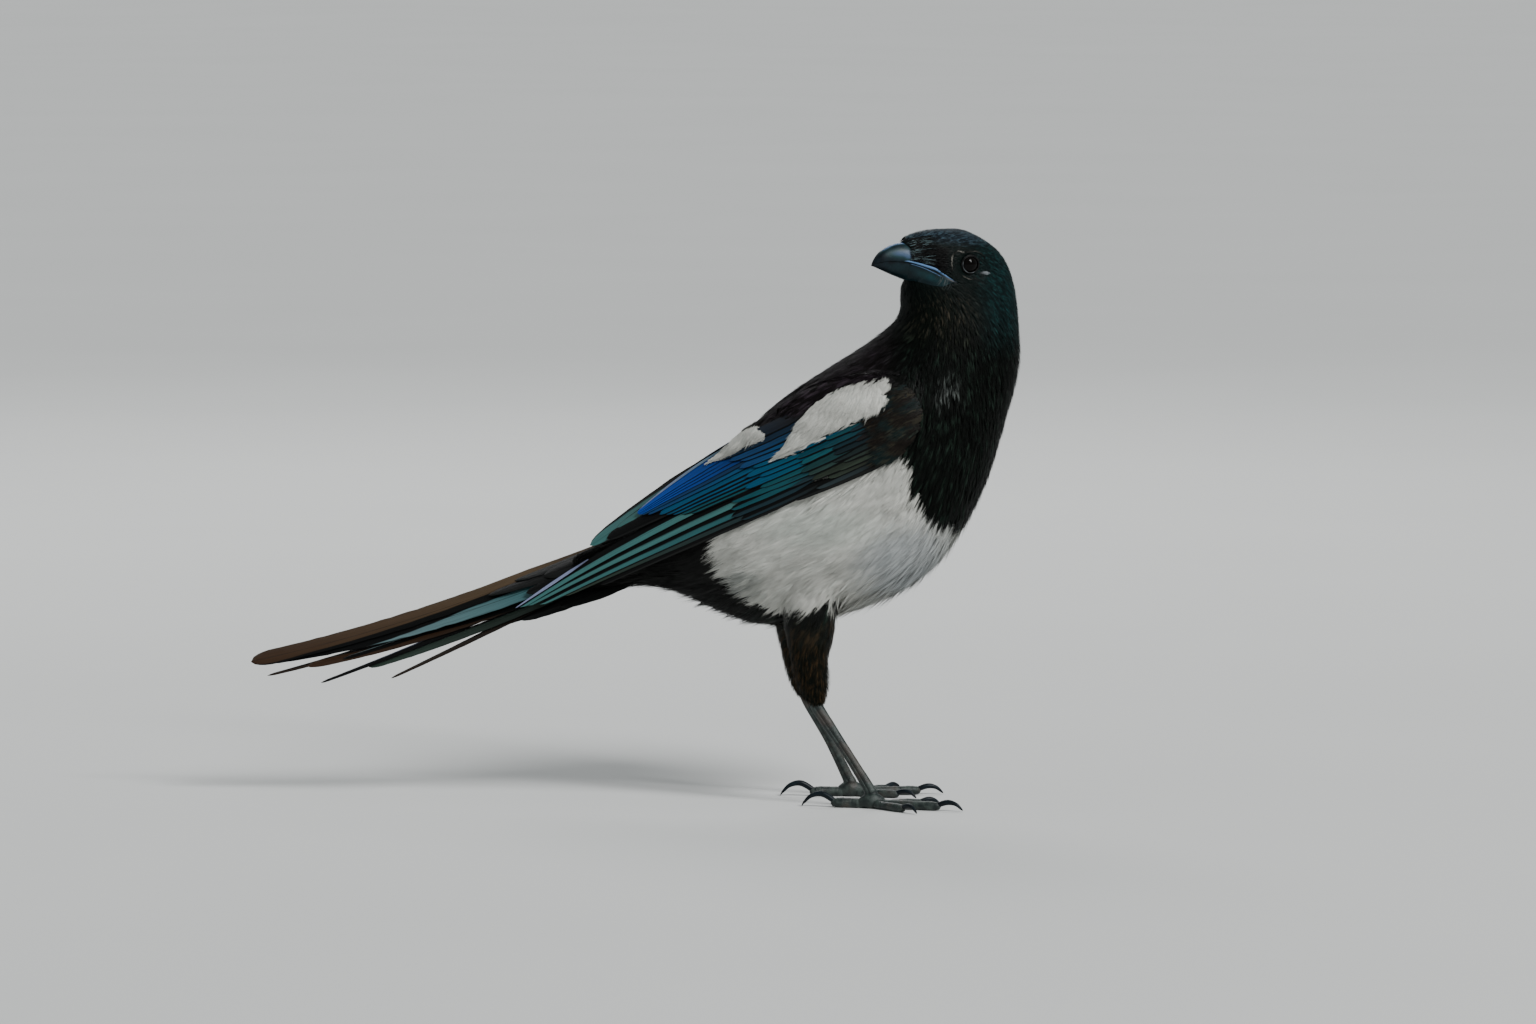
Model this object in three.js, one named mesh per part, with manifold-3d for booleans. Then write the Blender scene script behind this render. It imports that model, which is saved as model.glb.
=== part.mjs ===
// A life-size Eurasian magpie, standing still on both feet with its head turned back over the right side.
// Millimetres, +Z up, the body facing +X and its right side facing -Y. The flesh is one lofted body, parted
// by thin cuts. The folded wings, the scapulars and the tail are built feather by feather as closed vanes.
import * as THREE from "three";
import Module from "manifold-3d";

const wasm = await Module();
wasm.setup();

// Driving dimensions
const GAP = 0.3; // between nodes that touch
const HEAD_CENTRE = new THREE.Vector3(52, 0, 250);
const HEAD_YAW = 30; // degrees from straight back towards the right side
const HEAD_PITCH = 6; // degrees up
const WING_START = [28.5, 180]; // shoulder, as x and z
const WING_SLOPE = 27.5; // degrees below the horizontal, running back
const TAIL_ROOT = [-98, 121];
const TAIL_ROLL = 40; // degrees, near side down
const FOOT = { right: [12, -23, 7], left: [-1, 23, 7] };
const ANKLE = { right: [-14, -17, 47], left: [-21, 17, 47] };

// Stations of the body, tail base to crown: back (or throat) point and belly (or nape) point as x and z,
// half width, and how far the station is turned towards the head's heading, in degrees.
const STATIONS = [
  { back: [-130, 114], belly: [-126, 97], half: 6.5, yaw: 0 },
  { back: [-117, 121], belly: [-110, 98.5], half: 11, yaw: 0 },
  { back: [-97, 132], belly: [-90, 100], half: 18, yaw: 0 },
  { back: [-76, 148], belly: [-64, 92.5], half: 27, yaw: 0 },
  { back: [-55, 168], belly: [-38, 82.5], half: 35, yaw: 0 },
  { back: [-34, 188], belly: [-8, 86], half: 40, yaw: 0 },
  { back: [-14, 202], belly: [24, 98], half: 42.3, yaw: 0 },
  { back: [2, 212], belly: [47, 118], half: 41, yaw: 0 },
  { back: [12, 219], belly: [63, 147], half: 36.6, yaw: 0 },
  { back: [19.5, 225], belly: [72.5, 177], half: 31, yaw: 4 },
  { back: [22.5, 231], belly: [79, 203], half: 26.2, yaw: 8 },
  { back: [22, 237], belly: [79.5, 221], half: 22.5, yaw: 15 },
  { back: [22.5, 244], belly: [79, 236], half: 19.3, yaw: 25 },
  { back: [25.5, 252.5], belly: [76.5, 247], half: 16.6, yaw: 30 },
  { back: [30, 260.2], belly: [71.5, 255.5], half: 14.6, yaw: 30 },
  { back: [37, 265.3], belly: [62.5, 262.3], half: 10, yaw: 30 },
  { back: [44, 267.6], belly: [54, 266.4], half: 4, yaw: 30 },
];
const WIDEST = 0.47; // share of a station's depth, from the back, at which it is widest

// Stations of the face and the bill, in the head's own frame: forward, top, bottom, half width.
const FACE = [
  [4, 16.6, -16, 13.5],
  [12, 16.9, -15.5, 12.8],
  [20, 15.8, -13, 10],
  [26, 14, -10.6, 7.3],
  [30, 12.2, -8.6, 5.3],
  [32.6, 10, -6, 3.6],
];
const BILL = [
  [22, 8, -9.4, 6.6],
  [28, 8.5, -8.7, 6],
  [33.5, 8.3, -7.4, 5],
  [38, 6.8, -6.1, 4],
  [42.4, 3.9, -4.7, 3],
  [45, 0.8, -3.9, 1.8],
  [46.6, -2.6, -3.5, 0.6],
];
const MOUTH = [
  [52, -4.6], [43, -1.4], [37, -0.5], [32, -0.3], [25.3, -1.1], [20.8, -2.2], [16.1, -4.1], [11.2, -6.5],
  [7.7, -7.7],
];
const EYE = { forward: 2.6, side: 10.3, up: 1.4, radius: 5 };
const LID = { side: 13.9, radius: 4.3, thick: 0.85 };
const SOCKET = { side: 23.6, radius: 11.4 };

// The folded wing lies on a smooth face, written in p along its axis and q across it, up.
const WING_HALF = [
  [-14, 34], [-5, 37.8], [5, 40], [20, 41.2], [35, 41], [50, 39.8], [80, 35.8], [120, 28.5], [160, 22],
  [197, 17.5],
];
const WING_LOW = [
  [-10, 3], [-5, -5], [5, -10], [20, -12.8], [45, -14.2], [66, -12], [90, -10.5], [135, -8], [197, -5],
];
const WING_HIGH = [
  [-10, 12], [-5, 20], [5, 26.5], [27, 31], [60, 28.5], [82, 26.5], [104, 26.5], [130, 23], [157, 17.5],
  [197, 5],
];
const WING_FLAT = -5; // the face curves in above this q
const SEAT = 1.9; // below the wing's face, to the body
const VANE = { root: 0.8, tip: 0.5 }; // thickness
const FINEST = { edge: 0.03, height: 0.004 }; // of the triangles

const RIGHT = -1;
const LEFT = 1;
const SIDES = { right: RIGHT, left: LEFT };

const radians = THREE.MathUtils.degToRad;
const mix = THREE.MathUtils.lerp;

// A smooth curve through a list of values, read at t from 0 to the last index.
function through(values, t) {
  const last = values.length - 1;
  const i = Math.min(Math.floor(Math.max(t, 0)), last - 1);
  const f = t - i;
  const v = (k) => values[Math.max(0, Math.min(last, k))];
  const slopeIn = (v(i + 1) - v(i - 1)) / 2;
  const slopeOut = (v(i + 2) - v(i)) / 2;
  const rise = v(i + 1) - v(i);
  const square = 3 * rise - 2 * slopeIn - slopeOut;
  const cube = slopeIn + slopeOut - 2 * rise;
  return v(i) + slopeIn * f + square * f * f + cube * f ** 3;
}

// A smooth curve through [at, value] pairs, read at x.
function graph(pairs, x) {
  const last = pairs.length - 1;
  const clamped = Math.max(pairs[0][0], Math.min(pairs[last][0], x));
  let i = 0;
  while (i < last - 1 && clamped > pairs[i + 1][0]) i += 1;
  const f = (clamped - pairs[i][0]) / (pairs[i + 1][0] - pairs[i][0]);
  return through(pairs.map((pair) => pair[1]), i + f);
}

// A closed solid from points and triangles, turned to face out.
function solidFrom(points, faces) {
  const vertProperties = new Float32Array(points.flatMap((p) => [p.x, p.y, p.z]));
  let volume = 0;
  for (const [a, b, c] of faces) volume += points[a].dot(points[b].clone().cross(points[c]));
  const turned = volume < 0 ? faces.map(([a, b, c]) => [a, c, b]) : faces;
  const triVerts = new Uint32Array(turned.flat());
  return new wasm.Manifold(new wasm.Mesh({ numProp: 3, vertProperties, triVerts }));
}

// A solid from one of the geometry classes.
function solidOf(geometry) {
  const flat = geometry.index ? geometry.toNonIndexed() : geometry;
  const seen = new Map();
  const points = [];
  const corners = [];
  const at = flat.getAttribute("position");
  for (let i = 0; i < at.count; i += 1) {
    const p = new THREE.Vector3().fromBufferAttribute(at, i);
    const key = p.toArray().map((x) => Math.round(x * 1e4)).join();
    if (!seen.has(key)) seen.set(key, points.push(p) - 1);
    corners.push(seen.get(key));
  }
  const faces = [];
  for (let i = 0; i < corners.length; i += 3) {
    const [a, b, c] = corners.slice(i, i + 3);
    if (a !== b && b !== c && c !== a) faces.push([a, b, c]);
  }
  return solidFrom(points, faces);
}

const union = (solids) => wasm.Manifold.union(solids);
const both = (make) => union(Object.values(SIDES).map((side) => make(side)));

// The largest closed piece of a solid.
function largest(solid) {
  return solid.decompose().reduce((best, piece) => (piece.volume() > best.volume() ? piece : best));
}

// A skin over rings of points, open at both ends.
function sleeve(rings) {
  const around = rings[0].length;
  const faces = [];
  for (let i = 0; i + 1 < rings.length; i += 1) {
    for (let j = 0; j < around; j += 1) {
      const a = i * around + j;
      const b = i * around + ((j + 1) % around);
      faces.push([a, b, b + around], [a, b + around, a + around]);
    }
  }
  return { points: rings.flat(), faces, around, offset: (rings.length - 1) * around };
}

// A round body over rings of points, closed by a fan at each end.
function loft(rings) {
  const { points, faces, around, offset } = sleeve(rings);
  const middle = (ring) => ring.reduce((sum, p) => sum.add(p), new THREE.Vector3()).divideScalar(around);
  const first = points.push(middle(rings[0])) - 1;
  const final = points.push(middle(rings[rings.length - 1])) - 1;
  for (let j = 0; j < around; j += 1) {
    const k = (j + 1) % around;
    faces.push([first, k, j], [final, offset + j, offset + k]);
  }
  return solidFrom(points, faces);
}

// A slab over rings that run out along its lower face and back along its upper face.
function slab(rings) {
  const { points, faces, around, offset } = sleeve(rings);
  for (let j = 0; j + 1 < around / 2; j += 1) {
    const k = around - 1 - j;
    faces.push([j, k, k - 1], [j, k - 1, j + 1]);
    faces.push([offset + j, offset + k - 1, offset + k], [offset + j, offset + j + 1, offset + k - 1]);
  }
  return solidFrom(points, faces);
}

// The body's ring at t along the stations. Growing it moves its skin out.
function bodyRing(t, around, grow = 0) {
  const at = (read) => through(STATIONS.map(read), t);
  const back = new THREE.Vector3(at((s) => s.back[0]), 0, at((s) => s.back[1]));
  const belly = new THREE.Vector3(at((s) => s.belly[0]), 0, at((s) => s.belly[1]));
  const depth = back.distanceTo(belly);
  const up = back.clone().sub(belly).divideScalar(depth);
  const centre = back.clone().lerp(belly, WIDEST);
  const yaw = radians(at((s) => s.yaw));
  const half = at((s) => s.half) + grow;
  const ring = [];
  for (let j = 0; j < around; j += 1) {
    const angle = (2 * Math.PI * j) / around;
    const reach = Math.cos(angle) > 0 ? depth * WIDEST + grow : depth * (1 - WIDEST) + grow;
    const p = up.clone().multiplyScalar(reach * Math.cos(angle));
    p.y += half * Math.sin(angle);
    ring.push(p.applyAxisAngle(new THREE.Vector3(0, 0, 1), yaw).add(centre));
  }
  return ring;
}

function bodyLoft(grow = 0) {
  const around = 26;
  const steps = 32;
  const rings = [];
  for (let i = 0; i <= steps; i += 1) {
    rings.push(bodyRing(((STATIONS.length - 1) * i) / steps, around, grow));
  }
  return loft(rings);
}

// The head's own frame: forward along the bill, up, and out to its left.
const HEAD = new THREE.Matrix4()
  .makeTranslation(HEAD_CENTRE)
  .multiply(new THREE.Matrix4().makeRotationZ(radians(180 + HEAD_YAW)))
  .multiply(new THREE.Matrix4().makeRotationY(-radians(HEAD_PITCH)));
const headPoint = (forward, side, up) => new THREE.Vector3(forward, side, up).applyMatrix4(HEAD);

// A loft along the head's forward axis through [forward, top, bottom, half width] stations.
function headLoft(stations, around, perSpan, grow = 0) {
  const rings = [];
  const steps = (stations.length - 1) * perSpan;
  for (let i = 0; i <= steps; i += 1) {
    const t = i / perSpan;
    const [forward, top, bottom, half] = [0, 1, 2, 3].map((k) => through(stations.map((s) => s[k]), t));
    const ring = [];
    for (let j = 0; j < around; j += 1) {
      const angle = (2 * Math.PI * j) / around;
      const reach = (top - bottom) / 2 + grow;
      const height = (top + bottom) / 2 + reach * Math.cos(angle);
      ring.push(headPoint(forward, (half + grow) * Math.sin(angle), height));
    }
    rings.push(ring);
  }
  return loft(rings);
}

// A blade of the given thickness that follows a path of [x, z] points, through the whole width.
function blade(path, thick, samples, width = 140) {
  const curve = new THREE.SplineCurve(path.map(([x, z]) => new THREE.Vector2(x, z)));
  const one = [];
  const other = [];
  for (let i = 0; i <= samples; i += 1) {
    const p = curve.getPoint(i / samples);
    const along = curve.getTangent(i / samples);
    const out = new THREE.Vector2(-along.y, along.x).multiplyScalar(thick / 2);
    one.push(p.clone().add(out));
    other.unshift(p.clone().sub(out));
  }
  const shape = new THREE.Shape([...one, ...other]);
  const geometry = new THREE.ExtrudeGeometry(shape, { depth: width, bevelEnabled: false });
  return geometry.rotateX(Math.PI / 2).translate(0, width / 2, 0);
}

function sphere(radius, centre, detail = 12) {
  const geometry = new THREE.SphereGeometry(radius, detail, Math.round(detail * 0.7));
  return solidOf(geometry.translate(centre.x, centre.y, centre.z));
}

// One feather: a thin closed vane from root to tip on any face given as map(p, q, h), with h out of the
// face and read from height(p, q) at its middle. Width is its half width, and grow swells it on all sides.
function vane({ map, root, tip, width, height, steps, blunt = 0.5, grow = 0 }) {
  const run = new THREE.Vector2(tip[0] - root[0], tip[1] - root[1]);
  const reach = run.length();
  const along = run.clone().divideScalar(reach);
  const across = new THREE.Vector2(-along.y, along.x);
  const top = [];
  const under = [];
  for (let i = 0; i <= steps; i += 1) {
    const t = 1 - (1 - i / steps) ** 1.3;
    const rounded = t > 0.75 ? Math.sqrt(Math.max(0, 1 - ((t - 0.75) / 0.25) ** 2)) : 1;
    const spread = Math.min(1, 0.5 + 1.5 * t) * mix(blunt * 0.4, 1, rounded);
    const at = t * (reach + 2 * grow) - grow;
    const centre = new THREE.Vector2(root[0], root[1]).addScaledVector(along, at);
    const halfThick = mix(VANE.root, VANE.tip, t * t) / 2 + grow;
    for (const edge of [-1, 1]) {
      const p = centre.clone().addScaledVector(across, edge * (width * spread + grow));
      top.push(map(p.x, p.y, height(p.x, p.y) + halfThick));
      under.push(map(p.x, p.y, height(p.x, p.y) - halfThick));
    }
  }
  const n = top.length;
  const faces = [];
  const quad = (a, b, c, d) => faces.push([a, b, c], [a, c, d]);
  for (let a = 0; a < n - 2; a += 2) {
    quad(a, a + 1, a + 3, a + 2);
    faces.push([n + a, n + a + 3, n + a + 1], [n + a, n + a + 2, n + a + 3]);
    quad(a, a + 2, n + a + 2, n + a);
    quad(a + 1, n + a + 1, n + a + 3, a + 3);
  }
  quad(0, n, n + 1, 1);
  quad(n - 2, n - 1, 2 * n - 1, 2 * n - 2);
  return solidFrom([...top, ...under], faces);
}

// The point at p along and q across the folded wing's face, h out of it.
function wingPoint(side) {
  const slope = radians(WING_SLOPE);
  const face = (p, q) => graph(WING_HALF, p) - (0.0128 + 0.0001 * p) * Math.max(0, q - WING_FLAT) ** 2;
  return (p, q, h) => {
    const step = 0.5;
    const rateP = (face(p + step, q) - face(p - step, q)) / (2 * step);
    const rateQ = (face(p, q + step) - face(p, q - step)) / (2 * step);
    const norm = Math.hypot(rateP, rateQ, 1);
    const a = p - (h * rateP) / norm;
    const b = q - (h * rateQ) / norm;
    const out = face(p, q) + h / norm;
    const x = WING_START[0] - a * Math.cos(slope) - b * Math.sin(slope);
    const z = WING_START[1] - a * Math.sin(slope) + b * Math.cos(slope);
    return new THREE.Vector3(x, side * out, z);
  };
}

// A slab on the wing's face between two q limits, from height low to height high.
function wingSlab(map, from, to, lowQ, highQ, low, high, steps, across) {
  const rings = [];
  for (let i = 0; i <= steps; i += 1) {
    const p = mix(from, to, i / steps);
    const qs = [];
    for (let j = 0; j <= across; j += 1) qs.push(mix(lowQ(p), highQ(p), j / across));
    rings.push([...qs.map((q) => map(p, q, low(q))), ...qs.reverse().map((q) => map(p, q, high(q)))]);
  }
  return slab(rings);
}

// The room that a folded wing takes beside the body.
function wingBed(side) {
  const margin = 0.8;
  const out = 12;
  return wingSlab(
    wingPoint(side), -10, 199,
    (p) => graph(WING_LOW, p) - margin,
    (p) => graph(WING_HIGH, p) + margin,
    () => -SEAT,
    () => out,
    10, 5,
  );
}

// Tiers of the folded wing, each from its first (upper) feather to its last (lower). Above is the height
// of a tier over the flight feathers. Each feather's lower edge lies over the next one's upper edge.
const SHINGLE = 0.15;
const TIERS = [
  { count: 3, root: [[46, 20], [44, 13]], tip: [[122, 21], [154, 16]], width: [6.2, 6.4], above: 0 },
  { count: 5, root: [[44, 10], [42, -1]], tip: [[159, 14], [149, 3.5]], width: [5.4, 5], above: 0 },
  { count: 5, root: [[44, -2], [40, -7.5]], tip: [[199, 0.5], [142, -4]], width: [4.2, 3.6], above: 0 },
  { count: 5, root: [[24, 22], [20, -3]], tip: [[79, 21], [69, -4]], width: [5.2, 4.8], above: 1 },
  { count: 3, root: [[18, -4], [16, -9]], tip: [[78, -6], [60, -11]], width: [3.4, 3.2], above: 0.9 },
  { count: 4, root: [[4, 19], [2, -6]], tip: [[48, 18], [43, -9]], width: [6, 5.4], above: 1.9 },
];

function feathersOf({ count, root, tip, width, above }, map) {
  return Array.from({ length: count }, (_, i) => {
    const between = (pair) => mix(pair[0], pair[1], i / (count - 1));
    const from = [0, 1].map((k) => between(root.map((point) => point[k])));
    const to = [0, 1].map((k) => between(tip.map((point) => point[k])));
    const half = between(width);
    const edge = (from[1] + to[1]) / 2 - half;
    const level = 0.9 + above + 0.1 * (edge + 12);
    const height = (p, q) => level - SHINGLE * (q - edge);
    return vane({ map, root: from, tip: to, width: half, height, steps: to[0] > 100 ? 4 : 2 });
  });
}

function wing(side) {
  const map = wingPoint(side);
  const pad = wingSlab(
    map, -9.5, 52,
    (p) => graph(WING_LOW, p),
    (p) => graph(WING_HIGH, p),
    () => 2 * GAP - SEAT,
    (q) => 1.1 + 0.1 * (q + 12),
    3, 5,
  );
  return union([pad, ...TIERS.flatMap((tier) => feathersOf(tier, map))]);
}

// The white scapulars: a small pad at the shoulder and rows of vanes that close to a point behind it.
function scapulars(side, grow = 0) {
  const map = wingPoint(side);
  const low = (q) => 3.3 + 0.08 * (q + 12);
  const pad = wingSlab(
    map, 4 - grow, 26 + grow, () => 12 - grow, () => 23.5 + grow,
    (q) => low(q) - 0.4 - grow,
    (q) => low(q) + 0.9 + grow,
    2, 2,
  );
  const rows = [
    { root: [7, 14], tip: [42, 10.5], width: 4.5 },
    { root: [7, 18], tip: [56, 12], width: 5 },
    { root: [9, 22], tip: [66, 13.5], width: 5 },
    { root: [14, 22], tip: [90, 23.5], width: 3.6 },
  ];
  const made = { map, height: (p, q) => low(q), steps: 3, blunt: 0.25, grow };
  return union([pad, ...rows.map((row) => vane({ ...made, ...row }))]);
}

// The tail's own frame: s back along it, across to its left, and up out of it.
function tailPoint(s, across, up) {
  const droop = radians(mix(26, 18.2, Math.min(1, s / 190)));
  const roll = radians(TAIL_ROLL);
  const lateral = across * Math.cos(roll) - up * Math.sin(roll);
  const height = across * Math.sin(roll) + up * Math.cos(roll);
  const x = TAIL_ROOT[0] - s * Math.cos(droop) - height * Math.sin(droop);
  return new THREE.Vector3(x, lateral, TAIL_ROOT[1] - s * Math.sin(droop) + height * Math.cos(droop));
}

// Rectrices from the middle out, each with where its tip lies across the tail, how far it lies below the
// middle pair, its half width, and how its vane is twisted. The near side is open, the far side closed.
const RECTRICES = [
  { length: 194, across: 2.5, below: 0, width: 9, twist: 0 },
  { length: 172, across: 7, below: 1.3, width: 8, twist: 0 },
  { length: 148, across: 9, below: 2.6, width: 7.5, twist: 0 },
  { length: 122, across: 10, below: 3.9, width: 7, twist: 0 },
  { length: 97, across: 10.5, below: 5.2, width: 6.5, twist: 0 },
  { length: 166, across: -4, below: 0.9, width: 8, twist: 0 },
  { length: 186, across: -9, below: 2.1, width: 6, twist: -0.55 },
  { length: 158, across: -16, below: 3.3, width: 5.5, twist: -0.65 },
  { length: 126, across: -21, below: 4.5, width: 5.5, twist: -0.65 },
  { length: 92, across: -17, below: 5.7, width: 5.5, twist: -0.4 },
];

function tail(base) {
  const feathers = RECTRICES.map(({ length, across, below, width, twist }) => {
    const root = [12, Math.sign(across) * 2.5];
    const middle = (s) => mix(root[1], across, (s - root[0]) / (length - root[0]));
    const height = (s, c) => twist * (c - middle(s)) - below;
    const tip = [length, across];
    return vane({ map: tailPoint, root, tip, width, height, steps: 4, blunt: 0.8 });
  });
  return union([base, ...feathers]);
}

// A tube along a list of [x, y, z, radius] points, flattened across by squeeze.
function limb(points, around, perSpan, grow = 0, squeeze = 1) {
  const rings = [];
  const steps = (points.length - 1) * perSpan;
  const read = (t) => points[0].map((_, k) => through(points.map((p) => p[k]), t));
  for (let i = 0; i <= steps; i += 1) {
    const t = i / perSpan;
    const [x, y, z, radius] = read(t);
    const ahead = read(Math.min(t + 0.05, points.length - 1));
    const behind = read(Math.max(t - 0.05, 0));
    const along = new THREE.Vector3(...ahead).sub(new THREE.Vector3(...behind)).normalize();
    const side = Math.abs(along.z) > 0.8 ? new THREE.Vector3(0, 1, 0) : new THREE.Vector3(0, 0, 1);
    const one = side.clone().addScaledVector(along, -side.dot(along)).normalize();
    const two = along.clone().cross(one);
    const ring = [];
    for (let j = 0; j < around; j += 1) {
      const angle = (2 * Math.PI * j) / around;
      ring.push(
        new THREE.Vector3(x, y, z)
          .addScaledVector(one, (radius * squeeze + grow) * Math.cos(angle))
          .addScaledVector(two, (radius + grow) * Math.sin(angle)),
      );
    }
    rings.push(ring);
  }
  return loft(rings);
}

// Toes: heading in degrees from straight ahead towards the outer side, then pad length and claw length.
const TOES = {
  hind: { heading: 186, pad: 19, claw: 14, thick: 2.5, arch: 6.5 },
  inner: { heading: -18, pad: 24, claw: 9, thick: 2.1, arch: 3.6 },
  middle: { heading: 14, pad: 33, claw: 11, thick: 2.3, arch: 4.2 },
  outer: { heading: 46, pad: 23, claw: 9, thick: 2.1, arch: 3.6 },
};

function toePath({ heading, pad, thick }, [x, y], side) {
  const angle = radians(heading);
  const ahead = new THREE.Vector2(Math.cos(angle), side * Math.sin(angle));
  const at = (s, z, radius) => [x + ahead.x * s, y + ahead.y * s, z, radius];
  const knuckles = Math.round(pad / 11);
  const points = [at(0, thick + 1.4, thick * 1.05)];
  for (let i = 1; i <= knuckles; i += 1) {
    points.push(at((pad * (i - 0.5)) / knuckles, thick * 0.86, thick * 0.98));
    points.push(at((pad * i) / knuckles, thick * 0.9, thick * mix(1, 0.78, i / knuckles)));
  }
  return { points, ahead, at };
}

function clawSolid(toe, foot, side, grow = 0) {
  const { at } = toePath(toe, foot, side);
  const { pad, claw, thick, arch } = toe;
  const points = [
    at(pad - 1.6, thick * 0.95, thick * 0.5),
    at(pad + claw * 0.3, mix(thick, arch, 0.9), thick * 0.56),
    at(pad + claw * 0.68, arch * 0.8, thick * 0.4),
    at(pad + claw * 0.93, arch * 0.3, thick * 0.22),
    at(pad + claw, 0.42, 0.12),
  ];
  return limb(points, 6, 1, grow);
}

// One leg in its pieces: the feathered thigh, the bare shank and its socket, the foot and its claws.
function leg(name, side) {
  const foot = FOOT[name];
  const ankle = ANKLE[name];
  const shank = [
    [ankle[0] - 1, ankle[1], ankle[2] + 2, 2.7],
    [ankle[0] + 1, ankle[1] - 0.2, ankle[2] - 2.5, 2.9],
    [mix(ankle[0], foot[0], 0.5), mix(ankle[1], foot[1], 0.5), mix(ankle[2], foot[2], 0.5), 2.3],
    [foot[0] - 2.2, foot[1], foot[2] + 3.4, 2.6],
    [foot[0] - 0.4, foot[1], foot[2] - 0.6, 3],
  ];
  const thigh = [
    [ankle[0] - 5, side * 20, 104, 15],
    [ankle[0] - 3, side * 20, 84, 12.2],
    [ankle[0] - 3.5, side * 19.5, 70, 9.4],
    [ankle[0] - 1.5, ankle[1] - side * 0.5, 56, 7],
    [ankle[0] + 0.4, ankle[1], ankle[2] + 0.6, 4.2],
  ];
  const sole = [
    [foot[0] - 5, foot[1], 2.6, 2.6],
    [foot[0], foot[1], 3.4, 4.2],
    [foot[0] + 5, foot[1], 2.6, 2.6],
  ];
  const toes = Object.entries(TOES);
  const floor = solidOf(new THREE.BoxGeometry(300, 300, 40).translate(0, 0, -20));
  const shankRoom = limb(shank, 10, 2, GAP, 0.8);
  const pads = toes.map(([, toe]) => limb(toePath(toe, foot, side).points, 7, 1));
  const sockets = toes.map(([, toe]) => clawSolid(toe, foot, side, GAP));
  return {
    thigh: limb(thigh, 12, 2),
    shank: limb(shank, 10, 2, 0, 0.8),
    shankRoom,
    foot: largest(union([limb(sole, 8, 2), ...pads]).subtract(union([floor, shankRoom, ...sockets]))),
    claws: toes.map(([key, toe]) => [`claw_${name}_${key}`, clawSolid(toe, foot, side)]),
  };
}

// Where the flesh is parted, as paths of x and z. The belly is taken out first, and then the rest is cut.
const BELLY_EDGE = [
  [68, 118], [51, 127], [40, 132], [31, 147], [27, 163], [0, 158], [-32, 145], [-62, 131], [-69, 123],
  [-67, 112], [-61, 100], [-50, 90], [-35, 72],
];
const EDGES = {
  neckTop: [[-10, 238], [30, 233], [60, 225], [100, 220]],
  neckBase: [[-12, 232], [12, 214], [50, 196], [100, 182]],
  mantle: [[-4, 236], [8, 212], [15, 188], [19, 172], [20, 152]],
  rump: [[-94, 168], [-80, 145], [-68, 121], [-64, 112]],
  tailBase: [[-88, 150], [-98, 118], [-104, 88]],
};
const knife = (path) => solidOf(blade(path, GAP, 4 * path.length));
const eyeAt = (side, reach) => headPoint(EYE.forward, side * reach, EYE.up);

function lid(side) {
  const ring = new THREE.TorusGeometry(LID.radius, LID.thick, 4, 14).rotateX(Math.PI / 2);
  return solidOf(ring.translate(EYE.forward, side * LID.side, EYE.up).applyMatrix4(HEAD));
}

// The flesh of body, head and face, with its eye sockets, mouth line and the beds of what is set into it.
function flesh() {
  const inner = headLoft(FACE, 16, 1, -1.6);
  const mouth = solidOf(blade(MOUTH, GAP, 12, 60).applyMatrix4(HEAD)).subtract(inner);
  const dished = union([bodyLoft(), headLoft(FACE, 18, 2)])
    .subtract(both((side) => sphere(SOCKET.radius, eyeAt(side, SOCKET.side))));
  return union([dished, both(lid)])
    .subtract(union([headLoft(BILL, 16, 1, GAP), mouth]))
    .subtract(both((side) => sphere(EYE.radius + GAP, eyeAt(side, EYE.side))))
    .subtract(both(wingBed))
    .subtract(both((side) => scapulars(side, GAP)));
}

// The bill, parted along the mouth line, upper half first. Each side of the upper half has a nostril.
function jaws() {
  const parting = solidOf(blade([...MOUTH.slice(0, 5), [15, -1.1]], GAP, 8, 60).applyMatrix4(HEAD));
  const [upper, lower] = headLoft(BILL, 16, 1)
    .subtract(parting)
    .decompose()
    .sort((a, b) => b.boundingBox().max[2] - a.boundingBox().max[2]);
  const nostril = (side) => sphere(0.8, headPoint(31.5, side * 4.7, 4.2), 6);
  return [upper.subtract(both(nostril)), lower];
}

// The closed piece whose box is centred nearest to x and z.
function pieceAt(pieces, x, z) {
  const far = (piece) => {
    const box = piece.boundingBox();
    return Math.hypot((box.min[0] + box.max[0]) / 2 - x, (box.min[2] + box.max[2]) / 2 - z);
  };
  return pieces.reduce((best, piece) => (far(piece) < far(best) ? piece : best));
}

const COLOURS = {
  black: [0x101311, 0.55],
  white: [0xd9dbd4, 0.75],
  wing: [0x16394f, 0.4],
  tail: [0x24302a, 0.4],
  horn: [0x1b1e22, 0.35],
  scale: [0x2a2f2e, 0.6],
  eye: [0x0c0907, 0.1],
};

// Each point's neighbours in a list of triangles.
function neighboursOf(points, faces) {
  const near = points.map(() => new Set());
  for (const [a, b, c] of faces) {
    near[a].add(b).add(c);
    near[b].add(c).add(a);
    near[c].add(a).add(b);
  }
  return near;
}

// Merges the ends of edges that a cut left shorter than the finest edge.
function withoutShortEdges(points, faces) {
  let kept = faces;
  for (;;) {
    const near = neighboursOf(points, kept);
    const shared = (a, b) => [...near[a]].filter((i) => near[b].has(i));
    const mergeable = (a, b) =>
      points[a].distanceTo(points[b]) < FINEST.edge && shared(a, b).length === 2;
    const short = kept.flatMap(([a, b, c]) => [[a, b], [b, c], [c, a]]).find(([a, b]) => mergeable(a, b));
    if (!short) return kept;
    kept = kept
      .map((face) => face.map((i) => (i === short[1] ? short[0] : i)))
      .filter(([a, b, c]) => a !== b && b !== c && c !== a);
  }
}

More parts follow.
